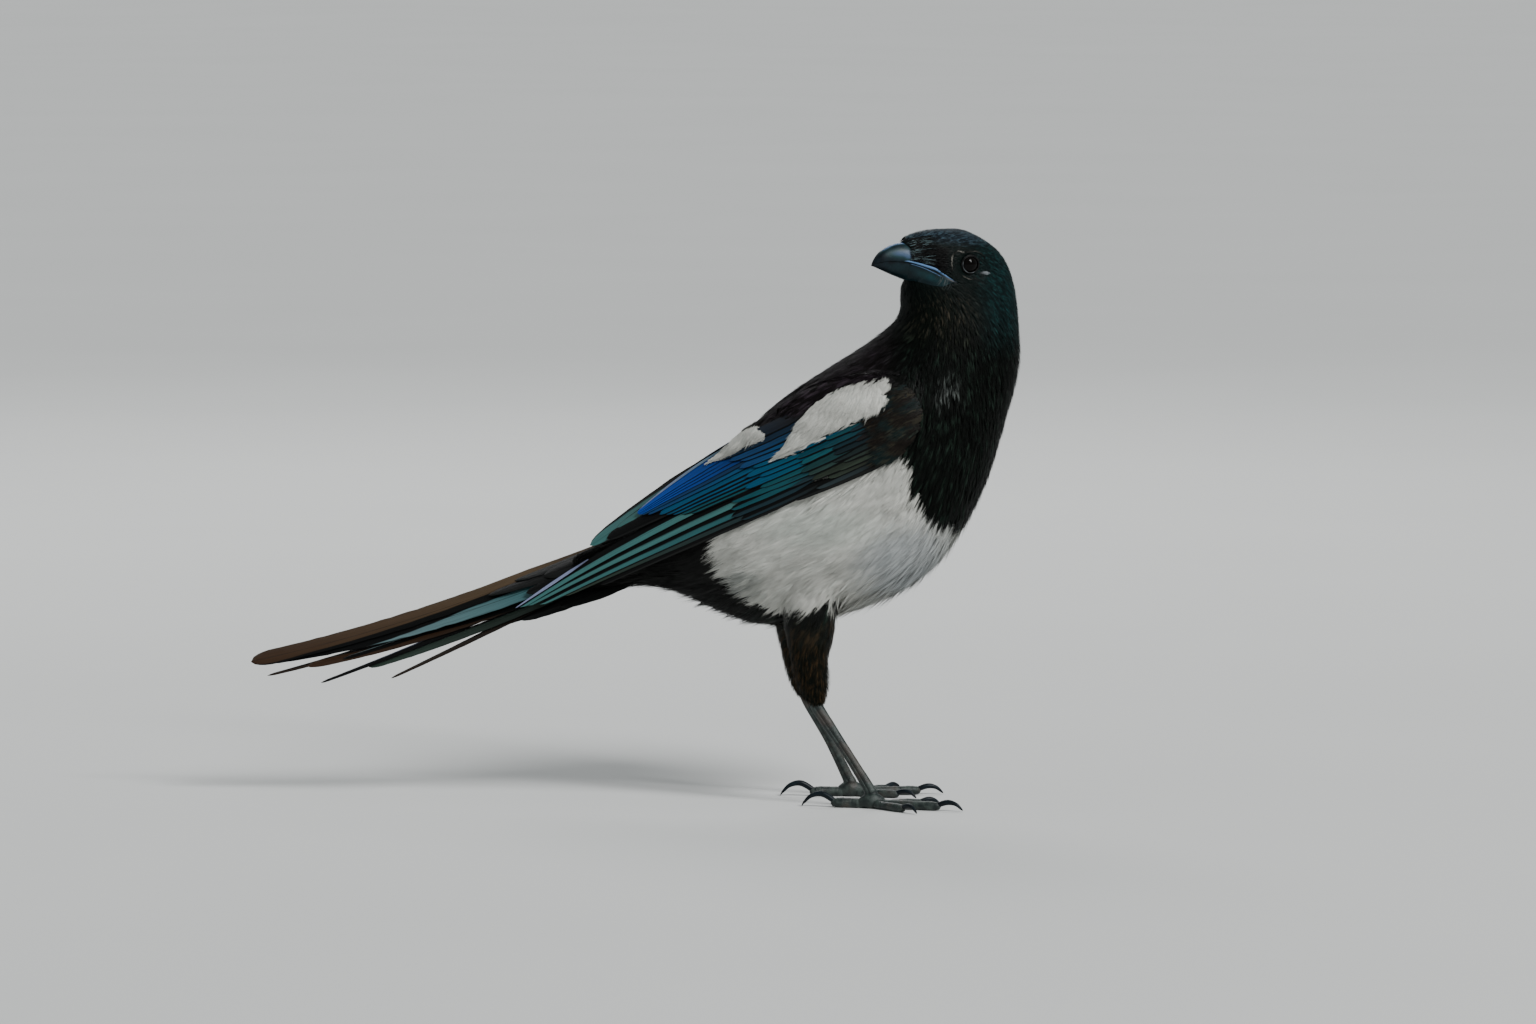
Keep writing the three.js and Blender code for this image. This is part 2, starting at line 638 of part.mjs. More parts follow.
// Turns the long edge of each triangle that a cut left almost flat, to join the other two corners.
function withoutSlivers(points, faces) {
  const kept = faces.map((face) => [...face]);
  const near = neighboursOf(points, kept);
  for (const face of kept) {
    const turns = [0, 1, 2].map((k) => [face[k], face[(k + 1) % 3], face[(k + 2) % 3]]);
    const length = ([a, b]) => points[a].distanceTo(points[b]);
    const [a, b, c] = turns.reduce((best, turn) => (length(turn) > length(best) ? turn : best));
    const edge = new THREE.Line3(points[a], points[b]);
    const foot = edge.closestPointToPoint(points[c], true, new THREE.Vector3());
    if (foot.distanceTo(points[c]) > FINEST.height) continue;
    const other = kept.find((f) => f !== face && f.includes(a) && f.includes(b));
    const d = other.find((i) => i !== a && i !== b);
    if (near[c].has(d)) continue;
    face.splice(0, 3, c, a, d);
    other.splice(0, 3, c, d, b);
    near[a].delete(b);
    near[b].delete(a);
    near[c].add(d);
    near[d].add(c);
  }
  return kept;
}

const bird = new THREE.Group();

// Adds a solid to the bird as a named mesh.
function add(name, solid, colour) {
  const { vertProperties, triVerts, numVert, numProp } = solid.getMesh();
  const pointAt = (i) => new THREE.Vector3().fromArray(vertProperties, i * numProp);
  const points = Array.from({ length: numVert }, (_, i) => pointAt(i));
  const corners = (i) => [...triVerts.subarray(3 * i, 3 * i + 3)];
  let faces = Array.from({ length: triVerts.length / 3 }, (_, i) => corners(i));
  for (let round = 0; round < 3; round += 1) {
    faces = withoutSlivers(points, withoutShortEdges(points, faces));
  }
  const geometry = new THREE.BufferGeometry().setFromPoints(points).setIndex(faces.flat());
  geometry.computeVertexNormals();
  const [color, roughness] = COLOURS[colour];
  const material = new THREE.MeshStandardMaterial({ color, roughness, metalness: 0 });
  const made = new THREE.Mesh(geometry, material);
  made.name = name;
  bird.add(made);
}

const halves = flesh().subtract(knife(BELLY_EDGE)).decompose();
const belly = pieceAt(halves, -8, 122);
const dark = union(halves.filter((piece) => piece !== belly))
  .subtract(union(Object.values(EDGES).map(knife)))
  .decompose()
  .filter((piece) => piece.volume() > 50);
const [billUpper, billLower] = jaws();

add("head", pieceAt(dark, 50, 245), "black");
add("neck", pieceAt(dark, 44, 212), "black");
add("breast", pieceAt(dark, 42, 168), "black");
add("back", pieceAt(dark, -25, 168), "black");
add("rump", pieceAt(dark, -73, 113), "black");
add("belly", belly, "white");
add("tail", largest(tail(pieceAt(dark, -114, 112))), "tail");
add("bill_upper", billUpper, "horn");
add("bill_lower", billLower, "horn");

for (const [name, side] of Object.entries(SIDES)) {
  const { thigh, shank, shankRoom, foot, claws } = leg(name, side);
  add(`eye_${name}`, sphere(EYE.radius, eyeAt(side, EYE.side)), "eye");
  add(`scapulars_${name}`, scapulars(side), "white");
  add(`wing_${name}`, largest(wing(side).subtract(scapulars(side, GAP))), "wing");
  add(`thigh_${name}`, largest(thigh.subtract(union([bodyLoft(GAP), shankRoom]))), "black");
  add(`tarsus_${name}`, shank, "scale");
  add(`foot_${name}`, foot, "scale");
  claws.forEach(([claw, solid]) => add(claw, solid, "horn"));
}

const box = new THREE.Box3().setFromObject(bird);
bird.position.set(-(box.min.x + box.max.x) / 2, -(box.min.y + box.max.y) / 2, -box.min.z);
export default bird;
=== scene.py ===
"""A life-size Eurasian magpie, standing and looking back over its right shoulder.

Sizes are in millimetres in the bird's own frame, but for lights and floor: +X ahead, +Z up, its right side
towards -Y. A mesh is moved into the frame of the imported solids, in metres, when it is made. One skin lies
under the whole coat. Small body feathers are tufts that follow the lie of the coat, and flight and tail
feathers are whole vanes.
"""

import math
from collections import namedtuple

import bpy
import numpy as np
from mathutils import Matrix, Vector
from mathutils.bvhtree import BVHTree


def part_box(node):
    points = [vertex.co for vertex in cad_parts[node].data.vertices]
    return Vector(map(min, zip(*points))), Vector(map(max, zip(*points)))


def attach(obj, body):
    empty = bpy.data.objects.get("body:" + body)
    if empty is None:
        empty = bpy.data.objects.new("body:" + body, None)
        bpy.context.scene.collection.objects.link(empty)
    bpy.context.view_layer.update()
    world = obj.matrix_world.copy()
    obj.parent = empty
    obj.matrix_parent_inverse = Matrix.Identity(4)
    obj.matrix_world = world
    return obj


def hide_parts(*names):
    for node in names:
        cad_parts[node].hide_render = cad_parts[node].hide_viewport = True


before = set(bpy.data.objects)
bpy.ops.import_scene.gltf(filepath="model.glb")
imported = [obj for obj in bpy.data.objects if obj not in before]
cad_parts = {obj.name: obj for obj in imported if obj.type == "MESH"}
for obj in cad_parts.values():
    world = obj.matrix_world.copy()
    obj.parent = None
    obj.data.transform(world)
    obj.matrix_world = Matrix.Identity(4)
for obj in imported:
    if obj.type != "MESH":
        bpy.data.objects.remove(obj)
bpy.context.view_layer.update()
BODY = "root"

# Driving sizes
METRES = 0.001
SEED = 7
RIGHT, LEFT = -1, 1
SIDES = {"right": RIGHT, "left": LEFT}

# The head, and in its own frame the eye, the middle of the lids' opening, and the hollow round the eye
HEAD_CENTRE = (52, 0, 250)
HEAD_YAW = 30  # degrees from straight back towards the right side
HEAD_PITCH = 6  # degrees up
EYE = {"forward": 2.6, "side": 10.3, "up": 1.4, "radius": 5}
LID = {"side": 13.9, "radius": 4.1, "thick": 0.75}
SOCKET = {"side": 23.6, "radius": 11.4}

# Body stations, tail base to crown: back x and z, belly x and z, half width, turn in degrees.
STATIONS = np.array([
    [-130, 114, -126, 97, 6.5, 0],
    [-117, 121, -110, 98.5, 11, 0],
    [-97, 132, -90, 100, 18, 0],
    [-76, 148, -64, 92.5, 27, 0],
    [-55, 168, -38, 82.5, 35, 0],
    [-34, 188, -8, 86, 40, 0],
    [-14, 202, 24, 98, 42.3, 0],
    [2, 212, 47, 118, 41, 0],
    [12, 219, 63, 147, 36.6, 0],
    [19.5, 225, 72.5, 177, 31, 4],
    [22.5, 231, 79, 203, 26.2, 8],
    [22, 237, 79.5, 221, 22.5, 15],
    [22.5, 244, 79, 236, 19.3, 25],
    [25.5, 252.5, 76.5, 247, 16.6, 30],
    [30, 260.2, 71.5, 255.5, 14.6, 30],
    [37, 265.3, 62.5, 262.3, 10, 30],
    [44, 267.6, 54, 266.4, 4, 30],
], float)
WIDEST = 0.47  # share of a station's depth, from the back, at which it is widest
# How far the skin lies inside these stations, by place along them.
COAT_DEPTH = [[0, 1.2], [3, 2.2], [5, 2.6], [9, 2.3], [11, 1.8], [13, 1.1], [16, 1.0]]

# Face and bill stations in the head's own frame: forward, top, bottom, half width.
FACE = np.array([
    [4, 16.6, -16, 13.5],
    [12, 16.9, -15.5, 12.8],
    [20, 15.8, -13, 10],
    [26, 14, -10.6, 7.3],
    [30, 12.2, -8.6, 5.3],
    [32.6, 10, -6, 3.6],
], float)
BILL = np.array([
    [22, 8, -9.4, 6.6],
    [28, 8.5, -8.7, 6],
    [33.5, 8.3, -7.4, 5],
    [38, 6.8, -6.1, 4],
    [42.4, 3.9, -4.7, 3],
    [45, 0.8, -3.9, 1.8],
    [46.6, -2.6, -3.5, 0.6],
], float)
MOUTH = [
    [7.7, -7.7], [11.2, -6.5], [16.1, -4.1], [20.8, -2.2], [25.3, -1.1], [32, -0.3], [37, -0.5], [43, -1.4],
    [52, -4.6],
]
GAPE_EDGE = [[9, -7.6], [12, -8], [15.5, -9.8], [19.7, -9.8], [24, -8.9], [28.3, -8.5], [34, -7.6]]

# The folded wing's face, in p back along its axis and q up across it, from WING_START in x and z: how far out
# it lies at each p, and the q of its lower and of its upper edge.
WING_START = (28.5, 180)
WING_SLOPE = 27.5  # degrees below level
WING_FLAT = -5  # q above which it bends in
WING_BEND = (0.0128, 0.0001)  # how much, at p of 0 and more for each millimetre of p
WING_HALF = [
    [-14, 34], [-5, 37.8], [5, 40], [20, 41.2], [35, 41], [50, 39.8], [80, 35.8], [120, 28.5], [160, 22],
    [197, 17.5],
]
WING_LOW = [
    [-10, 3], [-5, -5], [5, -10], [20, -12.8], [45, -14.2], [66, -12], [90, -10.5], [135, -8], [197, -5],
]
WING_HIGH = [
    [-10, 12], [-5, 20], [5, 26.5], [27, 31], [60, 28.5], [82, 26.5], [104, 26.5], [130, 23], [157, 17.5],
    [197, 5],
]
SEAT = 1.9  # from the wing's face down to the body

TAIL_ROOT = (-98, 121)
TAIL_ROLL = 40  # degrees, with its left side up
TAIL_DROOP = (26, 18.2)  # degrees below level, seen from its root: close by, and from TAIL_BEND back
TAIL_BEND = 190
UNDER_TAIL = -124  # x behind which the tail lies over the skin
FOOT = {"right": (12, -23, 7), "left": (-1, 23, 7)}
ANKLE = {"right": (-14, -17, 47), "left": (-21, 17, 47)}

# The white of the belly and flanks ends on this path of x and z, the same on both sides.
BELLY_EDGE = [
    [75, 121], [68, 118], [60, 122], [51, 127], [40, 132], [31, 147], [27, 163], [0, 158], [-32, 145],
    [-57, 132], [-62, 123], [-60, 113], [-55, 104], [-46, 96], [-35, 91], [-27, 84], [-22, 70], [30, 60],
    [90, 90],
]


# Curves and small vector helpers

def through(rows, t):
    """A smooth curve through rows of values, read at each t from 0 to the last index."""
    rows = np.asarray(rows, float)
    t = np.asarray(t, float)
    last = len(rows) - 1
    i = np.clip(np.floor(t).astype(int), 0, last - 1)
    f = t - i
    if rows.ndim > 1:
        f = f[..., None]

    def at(k):
        return rows[np.clip(k, 0, last)]

    slope_in = (at(i + 1) - at(i - 1)) / 2
    slope_out = (at(i + 2) - at(i)) / 2
    rise = at(i + 1) - at(i)
    square = 3 * rise - 2 * slope_in - slope_out
    cube = slope_in + slope_out - 2 * rise
    return at(i) + slope_in * f + square * f**2 + cube * f**3


def graph(pairs, x):
    """A smooth curve through pairs of place and value, read at each x."""
    pairs = np.asarray(pairs, float)
    x = np.clip(x, pairs[0, 0], pairs[-1, 0])
    i = np.clip(np.searchsorted(pairs[:, 0], x, "left") - 1, 0, len(pairs) - 2)
    f = (x - pairs[i, 0]) / (pairs[i + 1, 0] - pairs[i, 0])
    return through(pairs[:, 1], i + f)


def closed_curve(corners, steps):
    """A smooth closed curve through corners, as a path that ends where it starts."""
    return through(np.vstack([corners, corners[:1]]), np.linspace(0, len(corners), steps))


def mix(a, b, t):
    return a + (b - a) * t


def step_up(low, high, x):
    """From 0 at low to 1 at high, smoothly."""
    t = np.clip((x - low) / (high - low), 0, 1)
    return t * t * (3 - 2 * t)


def unit(v):
    return v / np.maximum(np.linalg.norm(v, axis=-1, keepdims=True), 1e-9)


def circle(count):
    """Even steps round a circle, in radians."""
    return 2 * np.pi * np.arange(count) / count


def tangent(direction, normal):
    return unit(direction - (direction * normal).sum(-1, keepdims=True) * normal)


def inside(path, x, z):
    """True for each point inside a closed path of x and z."""
    result = np.zeros(len(x), bool)
    for (x0, z0), (x1, z1) in zip(path, np.roll(path, -1, axis=0)):
        crosses = (z0 > z) != (z1 > z)
        result ^= crosses & (x < (x1 - x0) * (z - z0) / (z1 - z0 + 1e-12) + x0)
    return result


# The bird's surfaces

def head_matrix():
    yaw = math.radians(180 + HEAD_YAW)
    turn = Matrix.Rotation(yaw, 4, "Z") @ Matrix.Rotation(-math.radians(HEAD_PITCH), 4, "Y")
    return np.array(Matrix.Translation(HEAD_CENTRE) @ turn)


HEAD = head_matrix()


def head_points(forward, side, up):
    local = np.stack(np.broadcast_arrays(forward, side, up), -1).astype(float)
    return local @ HEAD[:3, :3].T + HEAD[:3, 3]


def head_ways(ways):
    return np.asarray(ways, float) @ HEAD[:3, :3].T


def into_head(points):
    return (points - HEAD[:3, 3]) @ HEAD[:3, :3]


def body_rings(t, around, grow):
    """Rings of the body at each t along its stations, with its surface moved out by grow."""
    rows = through(STATIONS, t)
    grow = np.broadcast_to(grow, np.shape(t))[:, None, None]
    back = np.stack([rows[:, 0], 0 * rows[:, 0], rows[:, 1]], -1)
    belly = np.stack([rows[:, 2], 0 * rows[:, 2], rows[:, 3]], -1)
    depth = np.linalg.norm(back - belly, axis=1)[:, None, None]
    up = unit(back - belly)[:, None, :]
    centre = mix(back, belly, WIDEST)[:, None, :]
    angle = circle(around)
    cos, sin = np.cos(angle)[None, :, None], np.sin(angle)[None, :, None]
    reach = np.where(cos > 0, depth * WIDEST, depth * (1 - WIDEST)) + grow
    offset = up * reach * cos
    offset[..., 1] += ((rows[:, 4][:, None, None] + grow) * sin)[..., 0]
    yaw = np.radians(rows[:, 5])[:, None]
    turned = np.stack([
        offset[..., 0] * np.cos(yaw) - offset[..., 1] * np.sin(yaw),
        offset[..., 0] * np.sin(yaw) + offset[..., 1] * np.cos(yaw),
        offset[..., 2],
    ], -1)
    return turned + centre


def head_rings(stations, steps, around, grow=0.0):
    rows = through(stations, np.linspace(0, len(stations) - 1, steps))
    angle = circle(around)
    forward, top, bottom, half = rows.T[:, :, None]
    side = (half + grow) * np.sin(angle)
    up = (top + bottom) / 2 + ((top - bottom) / 2 + grow) * np.cos(angle)
    return head_points(forward + 0 * side, side, up)


def limb_rings(points, steps, around, grow=0.0, squeeze=1.0):
    """Rings along a curve through rows of x, y, z and radius, flattened across by squeeze."""
    rows = through(points, np.linspace(0, len(points) - 1, steps))
    along = unit(np.gradient(rows[:, :3], axis=0))
    upright = np.abs(along[:, 2:]) > 0.8
    side = np.where(upright, [[0.0, 1.0, 0.0]], [[0.0, 0.0, 1.0]])
    one = tangent(side, along)
    two = np.cross(along, one)
    angle = circle(around)
    radius = rows[:, 3][:, None]
    across = ((radius * squeeze + grow) * np.cos(angle))[..., None] * one[:, None]
    return rows[:, None, :3] + across + ((radius + grow) * np.sin(angle))[..., None] * two[:, None]


def wing_surface(side):
    """The point at p along and q across the folded wing's face, h out of it."""
    slope = math.radians(WING_SLOPE)

    def face(p, q):
        bend = WING_BEND[0] + WING_BEND[1] * p
        return graph(WING_HALF, p) - bend * np.maximum(0, q - WING_FLAT) ** 2

    def surface(p, q, h):
        p, q, h = np.broadcast_arrays(np.asarray(p, float), q, h)
        rate_p = face(p + 0.5, q) - face(p - 0.5, q)
        rate_q = face(p, q + 0.5) - face(p, q - 0.5)
        norm = np.sqrt(rate_p**2 + rate_q**2 + 1)
        a = p - h * rate_p / norm
        b = q - h * rate_q / norm
        x = WING_START[0] - a * math.cos(slope) - b * math.sin(slope)
        z = WING_START[1] - a * math.sin(slope) + b * math.cos(slope)
        return np.stack([x, side * (face(p, q) + h / norm), z], -1)

    return surface


def wing_place(points):
    """The p and q of points beside the wing."""
    slope = math.radians(WING_SLOPE)
    x, z = points[:, 0] - WING_START[0], points[:, 2] - WING_START[1]
    return -x * math.cos(slope) - z * math.sin(slope), -x * math.sin(slope) + z * math.cos(slope)


def tail_surface(s, across, up):
    """The point s back along the tail, across to its left and up out of it."""
    s, across, up = np.broadcast_arrays(np.asarray(s, float), across, up)
    droop = np.radians(mix(*TAIL_DROOP, np.clip(s / TAIL_BEND, 0, 1)))
    roll = math.radians(TAIL_ROLL)
    lateral = across * math.cos(roll) - up * math.sin(roll)
    height = across * math.sin(roll) + up * math.cos(roll)
    x = TAIL_ROOT[0] - s * np.cos(droop) - height * np.sin(droop)
    return np.stack([x, lateral, TAIL_ROOT[1] - s * np.sin(droop) + height * np.cos(droop)], -1)


# Meshes

def shift_to_frame():
    """The move from the bird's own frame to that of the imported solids, in millimetres, by the left eye."""
    low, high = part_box("eye_left")
    eye = head_points(EYE["forward"], EYE["side"], EYE["up"])
    return np.array((low + high) / 2) / METRES - eye


SHIFT = shift_to_frame()


def to_frame(points):
    """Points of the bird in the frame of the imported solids, in metres."""
    return (points + SHIFT) * METRES


def mesh_points(mesh):
    points = np.empty(len(mesh.vertices) * 3)
    mesh.vertices.foreach_get("co", points)
    return points.reshape(-1, 3) / METRES - SHIFT


def mesh_triangles(mesh):
    """The indices of the three corners of each triangle."""
    mesh.calc_loop_triangles()
    triangles = np.empty(len(mesh.loop_triangles) * 3, int)
    mesh.loop_triangles.foreach_get("vertices", triangles)
    return triangles.reshape(-1, 3)


def keep_colours(mesh, name, colours):
    """Keeps a colour for each point of a mesh."""
    rgba = np.concatenate([colours, np.ones((len(colours), 1))], 1)
    mesh.attributes.new(name, "FLOAT_COLOR", "POINT").data.foreach_set("color", rgba.ravel())


class Shape:
    """Points and faces that grow piece by piece, with values kept for each point or face corner."""

    def __init__(self):
        self.points, self.faces, self.shading, self.count = [], [], [], 0
        self.point_values, self.corner_values = {}, {}

    def add(self, points, faces, on_points=None, on_corners=None):
        points = np.asarray(points, float).reshape(-1, 3)
        self.points.append(points)
        self.faces.append(np.asarray(faces, int) + self.count)
        self.count += len(points)
        for name, value in (on_points or {}).items():
            self.point_values.setdefault(name, []).append(np.asarray(value, float))
        for name, value in (on_corners or {}).items():
            self.corner_values.setdefault(name, []).append(np.asarray(value, float))

    def build(self, name, sharp=None):
        """The mesh object. Every face list holds either triangles or quads. Sharp is in degrees."""
        points = to_frame(np.concatenate(self.points))
        sizes = np.concatenate([np.full(len(f), f.shape[1]) for f in self.faces])
        corners = np.concatenate([f.ravel() for f in self.faces])
        mesh = bpy.data.meshes.new(name)
        mesh.vertices.add(len(points))
        mesh.vertices.foreach_set("co", points.ravel())
        mesh.loops.add(len(corners))
        mesh.loops.foreach_set("vertex_index", corners)
        mesh.polygons.add(len(sizes))
        mesh.polygons.foreach_set("loop_start", np.concatenate([[0], np.cumsum(sizes)[:-1]]))
        mesh.polygons.foreach_set("use_smooth", np.full(len(sizes), True))
        mesh.update(calc_edges=True)
        for key, parts in self.point_values.items():
            values = np.concatenate(parts)
            if values.ndim == 2:
                keep_colours(mesh, key, values)
            else:
                mesh.attributes.new(key, "FLOAT", "POINT").data.foreach_set("value", values)
        for key, parts in self.corner_values.items():
            layer = mesh.uv_layers.new(name=key)
            layer.uv.foreach_set("vector", np.concatenate(parts).ravel())
        if sharp is not None:
            mesh.set_sharp_from_angle(angle=math.radians(sharp))
        if self.shading:
            mesh.normals_split_custom_set_from_vertices(np.concatenate(self.shading).tolist())
        made = bpy.data.objects.new(name, mesh)
        bpy.context.scene.collection.objects.link(made)
        return made


def finish_piece(made, material, nodes=()):
    """Gives a piece its material and slot, sets it on the body and lets it stand for its nodes."""
    made.data.materials.clear()
    made.data.materials.append(material)
    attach(made, BODY)
    if nodes:
        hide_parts(*nodes)


def sleeve_faces(rings, around, closed=True):
    i, j = np.meshgrid(np.arange(rings - 1), np.arange(around if closed else around - 1), indexing="ij")
    a = i * around + j
    b = i * around + (j + 1) % around
    return np.stack([a, b, b + around, a + around], -1).reshape(-1, 4)


def add_loft(shape, rings, values=None):
    """Adds a closed body over rings, with a fan at each end. Values gives what to keep for its points."""
    count, around = rings.shape[:2]
    flat = rings.reshape(-1, 3)
    ends = np.array([rings[0].mean(0), rings[-1].mean(0)])
    j = np.arange(around)
    k = (j + 1) % around
    first, final, offset = count * around, count * around + 1, (count - 1) * around
    fans = np.concatenate([
        np.stack([np.full(around, first), k, j], -1),
        np.stack([np.full(around, final), offset + j, offset + k], -1),
    ])
    points = np.concatenate([flat, ends])
    quads = sleeve_faces(count, around)
    triangles = np.concatenate([quads[:, [0, 1, 2]], quads[:, [0, 2, 3]], fans])
    a, b, c = points[triangles[:, 0]], points[triangles[:, 1]], points[triangles[:, 2]]
    if (a * np.cross(b, c)).sum() < 0:
        triangles = triangles[:, ::-1]
    shape.add(points, triangles, values(points) if values else None)


# Skin

SKIN_DETAIL = 1.25  # side of the cells from which the skin is drawn
SKIN_SMOOTHING = {"factor": 0.5, "iterations": 8}
HEAD_COAT, THIGH_COAT = 0.7, 1.6  # how far the skin lies inside the face's and the thighs' rings
SOCKET_COAT = 0.6  # how much wider the hollow round an eye is in the skin than in the solids


def thigh_points(name, side):
    """Rows of x, y, z and radius down a thigh."""
    x, y, z = ANKLE[name]
    return [
        [x - 5, side * 18.5, 104, 13.6],
        [x - 3, side * 20, 84, 12.2],
        [x - 3.5, side * 19.5, 70, 9.4],
        [x - 1.5, y - side * 0.5, 56, 7],
        [x + 0.4, y, z + 0.6, 4.2],
    ]


def add_wing_pad(shape, side):
    """The flesh of the folded forearm and hand, under the coverts."""
    surface = wing_surface(side)
    p = np.linspace(-9.5, 52, 40)[:, None]
    across = np.linspace(0, 1, 20)
    q = mix(graph(WING_LOW, p), graph(WING_HIGH, p), across)
    under = surface(p, q, 0.6 - SEAT)
    over = surface(p, q, 0.5 + 0.09 * (q + 12))
    add_loft(shape, np.concatenate([under, over[:, ::-1]], 1))


def make_skin():
    """Body, head, thighs and forearms as one smooth surface, drawn in by the coat's depth."""
    shape = Shape()
    t = np.linspace(0, len(STATIONS) - 1, 110)
    add_loft(shape, body_rings(t, 64, -graph(COAT_DEPTH, t)))
    add_loft(shape, head_rings(FACE, 24, 40, -HEAD_COAT))
    for name, side in SIDES.items():
        add_loft(shape, limb_rings(thigh_points(name, side), 40, 28, -THIGH_COAT))
        add_wing_pad(shape, side)
    skin = shape.build("skin")
    remesh = skin.modifiers.new("one skin", "REMESH")
    remesh.mode = "VOXEL"
    remesh.voxel_size = SKIN_DETAIL * METRES
    smooth = skin.modifiers.new("soft", "SMOOTH")
    smooth.factor, smooth.iterations = SKIN_SMOOTHING["factor"], SKIN_SMOOTHING["iterations"]
    evaluated = skin.evaluated_get(bpy.context.evaluated_depsgraph_get())
    whole = bpy.data.meshes.new_from_object(evaluated)
    skin.modifiers.clear()
    skin.data = whole
    whole.name = "skin"
    dish_sockets(whole)
    whole.polygons.foreach_set("use_smooth", np.full(len(whole.polygons), True))
    return skin


def dish_sockets(mesh):
    """Sinks the skin into the hollow round each eye."""
    points = mesh_points(mesh)
    radius = SOCKET["radius"] + SOCKET_COAT
    for side in SIDES.values():
        centre = head_points(EYE["forward"], side * SOCKET["side"], EYE["up"])
        away = points - centre
        within = np.linalg.norm(away, axis=1) < radius
        points[within] = centre + unit(away[within]) * radius
    mesh.vertices.foreach_set("co", to_frame(points).ravel())
    mesh.update()


# The lie of the coat

# Guides of the coat: place, way the feathers lie, length, half width and how far they stand off the skin.
# Those of the body hold on both sides. The head's are in its own frame: forward, side, up.
BODY_GUIDES = [
    [[75, 0, 190], [-0.05, 0, -1], 10, 1.3, 2.0],
    [[66, 0, 152], [-0.35, 0, -0.94], 11, 1.5, 2.0],
    [[46, 0, 120], [-0.75, 0, -0.65], 18, 1.6, 2.6],
    [[20, 0, 98], [-0.97, 0, -0.25], 20, 1.7, 2.6],
    [[-12, 0, 87], [-0.98, 0, -0.1], 20, 1.7, 2.8],
    [[-50, 0, 87], [-0.8, 0, -0.6], 14, 1.7, 3.4],
    [[-100, 0, 99], [-1, 0, -0.1], 17, 1.8, 1.8],
    [[55, 26, 150], [-0.35, 0, -0.94], 11, 1.5, 2.0],
    [[36, 38, 150], [-0.5, 0, -0.86], 13, 1.6, 2.2],
    [[20, 41, 140], [-0.75, 0, -0.66], 21, 1.6, 1.0],
    [[25, 34, 112], [-0.8, 0, -0.6], 22, 1.7, 1.1],
    [[-15, 38, 120], [-0.9, 0, -0.42], 23, 1.8, 1.0],
    [[-15, 26, 96], [-0.82, 0, -0.55], 22, 1.8, 1.4],
    [[-50, 26, 110], [-0.9, 0, -0.42], 20, 1.8, 1.4],
    [[-50, 15, 90], [-0.75, 0, -0.65], 14, 1.7, 4.2],
    [[-85, 14, 104], [-1, 0, -0.15], 16, 1.8, 2.0],
    [[60, 25, 200], [-0.05, 0, -1], 10, 1.1, 1.9],
    [[76, 8, 205], [0.05, 0, -1], 11, 1.0, 2.4],
    [[40, 28, 205], [-0.15, 0, -1], 10, 1.1, 1.9],
    [[22, 18, 222], [-0.5, 0, -0.86], 8, 1.0, 1.5],
    [[50, 22, 225], [-0.05, 0, -1], 8, 0.8, 1.6],
    [[20, 0, 226], [-0.65, 0, -0.76], 9, 1.1, 1.5],
    [[20, 32, 190], [-0.6, 0, -0.8], 11, 1.6, 1.7],
    [[0, 0, 211], [-0.87, 0, -0.5], 12, 2.2, 1.4],
    [[0, 22, 203], [-0.87, 0, -0.5], 12, 2.2, 1.4],
    [[-34, 0, 188], [-0.75, 0, -0.66], 13, 2.5, 1.3],
    [[-34, 20, 180], [-0.8, 0, -0.6], 13, 2.5, 1.3],
    [[-76, 0, 148], [-0.8, 0, -0.6], 15, 2.4, 1.3],
    [[-76, 16, 140], [-0.8, 0, -0.6], 15, 2.4, 1.3],
    [[-115, 0, 122], [-0.88, 0, -0.48], 20, 2.4, 1.2],
    [[-18, 24, 90], [-0.65, 0, -0.75], 12, 1.3, 1.4],
    [[-18, 20, 76], [-0.2, 0, -1], 5.2, 0.8, 1.5],
    [[-17, 20, 62], [0.0, 0, -1], 5.4, 0.8, 3.1],
    [[-15, 18, 53], [0.1, 0, -1], 4.4, 0.7, 2.4],
]
HEAD_GUIDES = [
    [[30, 0, 12], [-0.9, 0, 0.5], 3, 0.5, 0.9],
    [[20, 0, 16], [-1, 0, 0.15], 3.4, 0.55, 0.8],
    [[2, 0, 17], [-1, 0, 0], 4, 0.6, 0.8],
    [[-12, 0, 13], [-0.8, 0, -0.6], 4.6, 0.7, 0.9],
    [[-22, 0, 2], [-0.25, 0, -1], 6, 0.8, 1.1],
    [[24, 7, 4], [-0.9, 0.35, -0.2], 2.6, 0.4, 0.7],
    [[14, 11, 8], [-1, 0.2, 0.05], 2.8, 0.5, 0.7],
    [[2, 13, 9], [-1, 0, -0.1], 3.2, 0.5, 0.7],
    [[13, 12, -4], [-0.9, 0.2, -0.4], 2.6, 0.45, 0.7],
    [[4, 14, -10], [-0.8, 0, -0.6], 3.8, 0.6, 0.9],
    [[-8, 14, -4], [-0.75, 0, -0.65], 4.2, 0.6, 0.9],
    [[-10, 13, 6], [-0.85, 0, -0.5], 4, 0.6, 0.9],
    [[24, 0, -11], [-0.8, 0, -0.6], 4, 0.5, 1.0],
    [[12, 0, -17], [-0.4, 0, -0.92], 7, 0.6, 1.5],
    [[10, 9, -16], [-0.4, 0, -0.92], 7, 0.6, 1.4],
    [[-6, 12, -18], [-0.3, 0, -0.95], 7, 0.8, 1.4],
]
GUIDE_REACH = 11.0  # square millimetres: the larger, the more evenly the guides blend


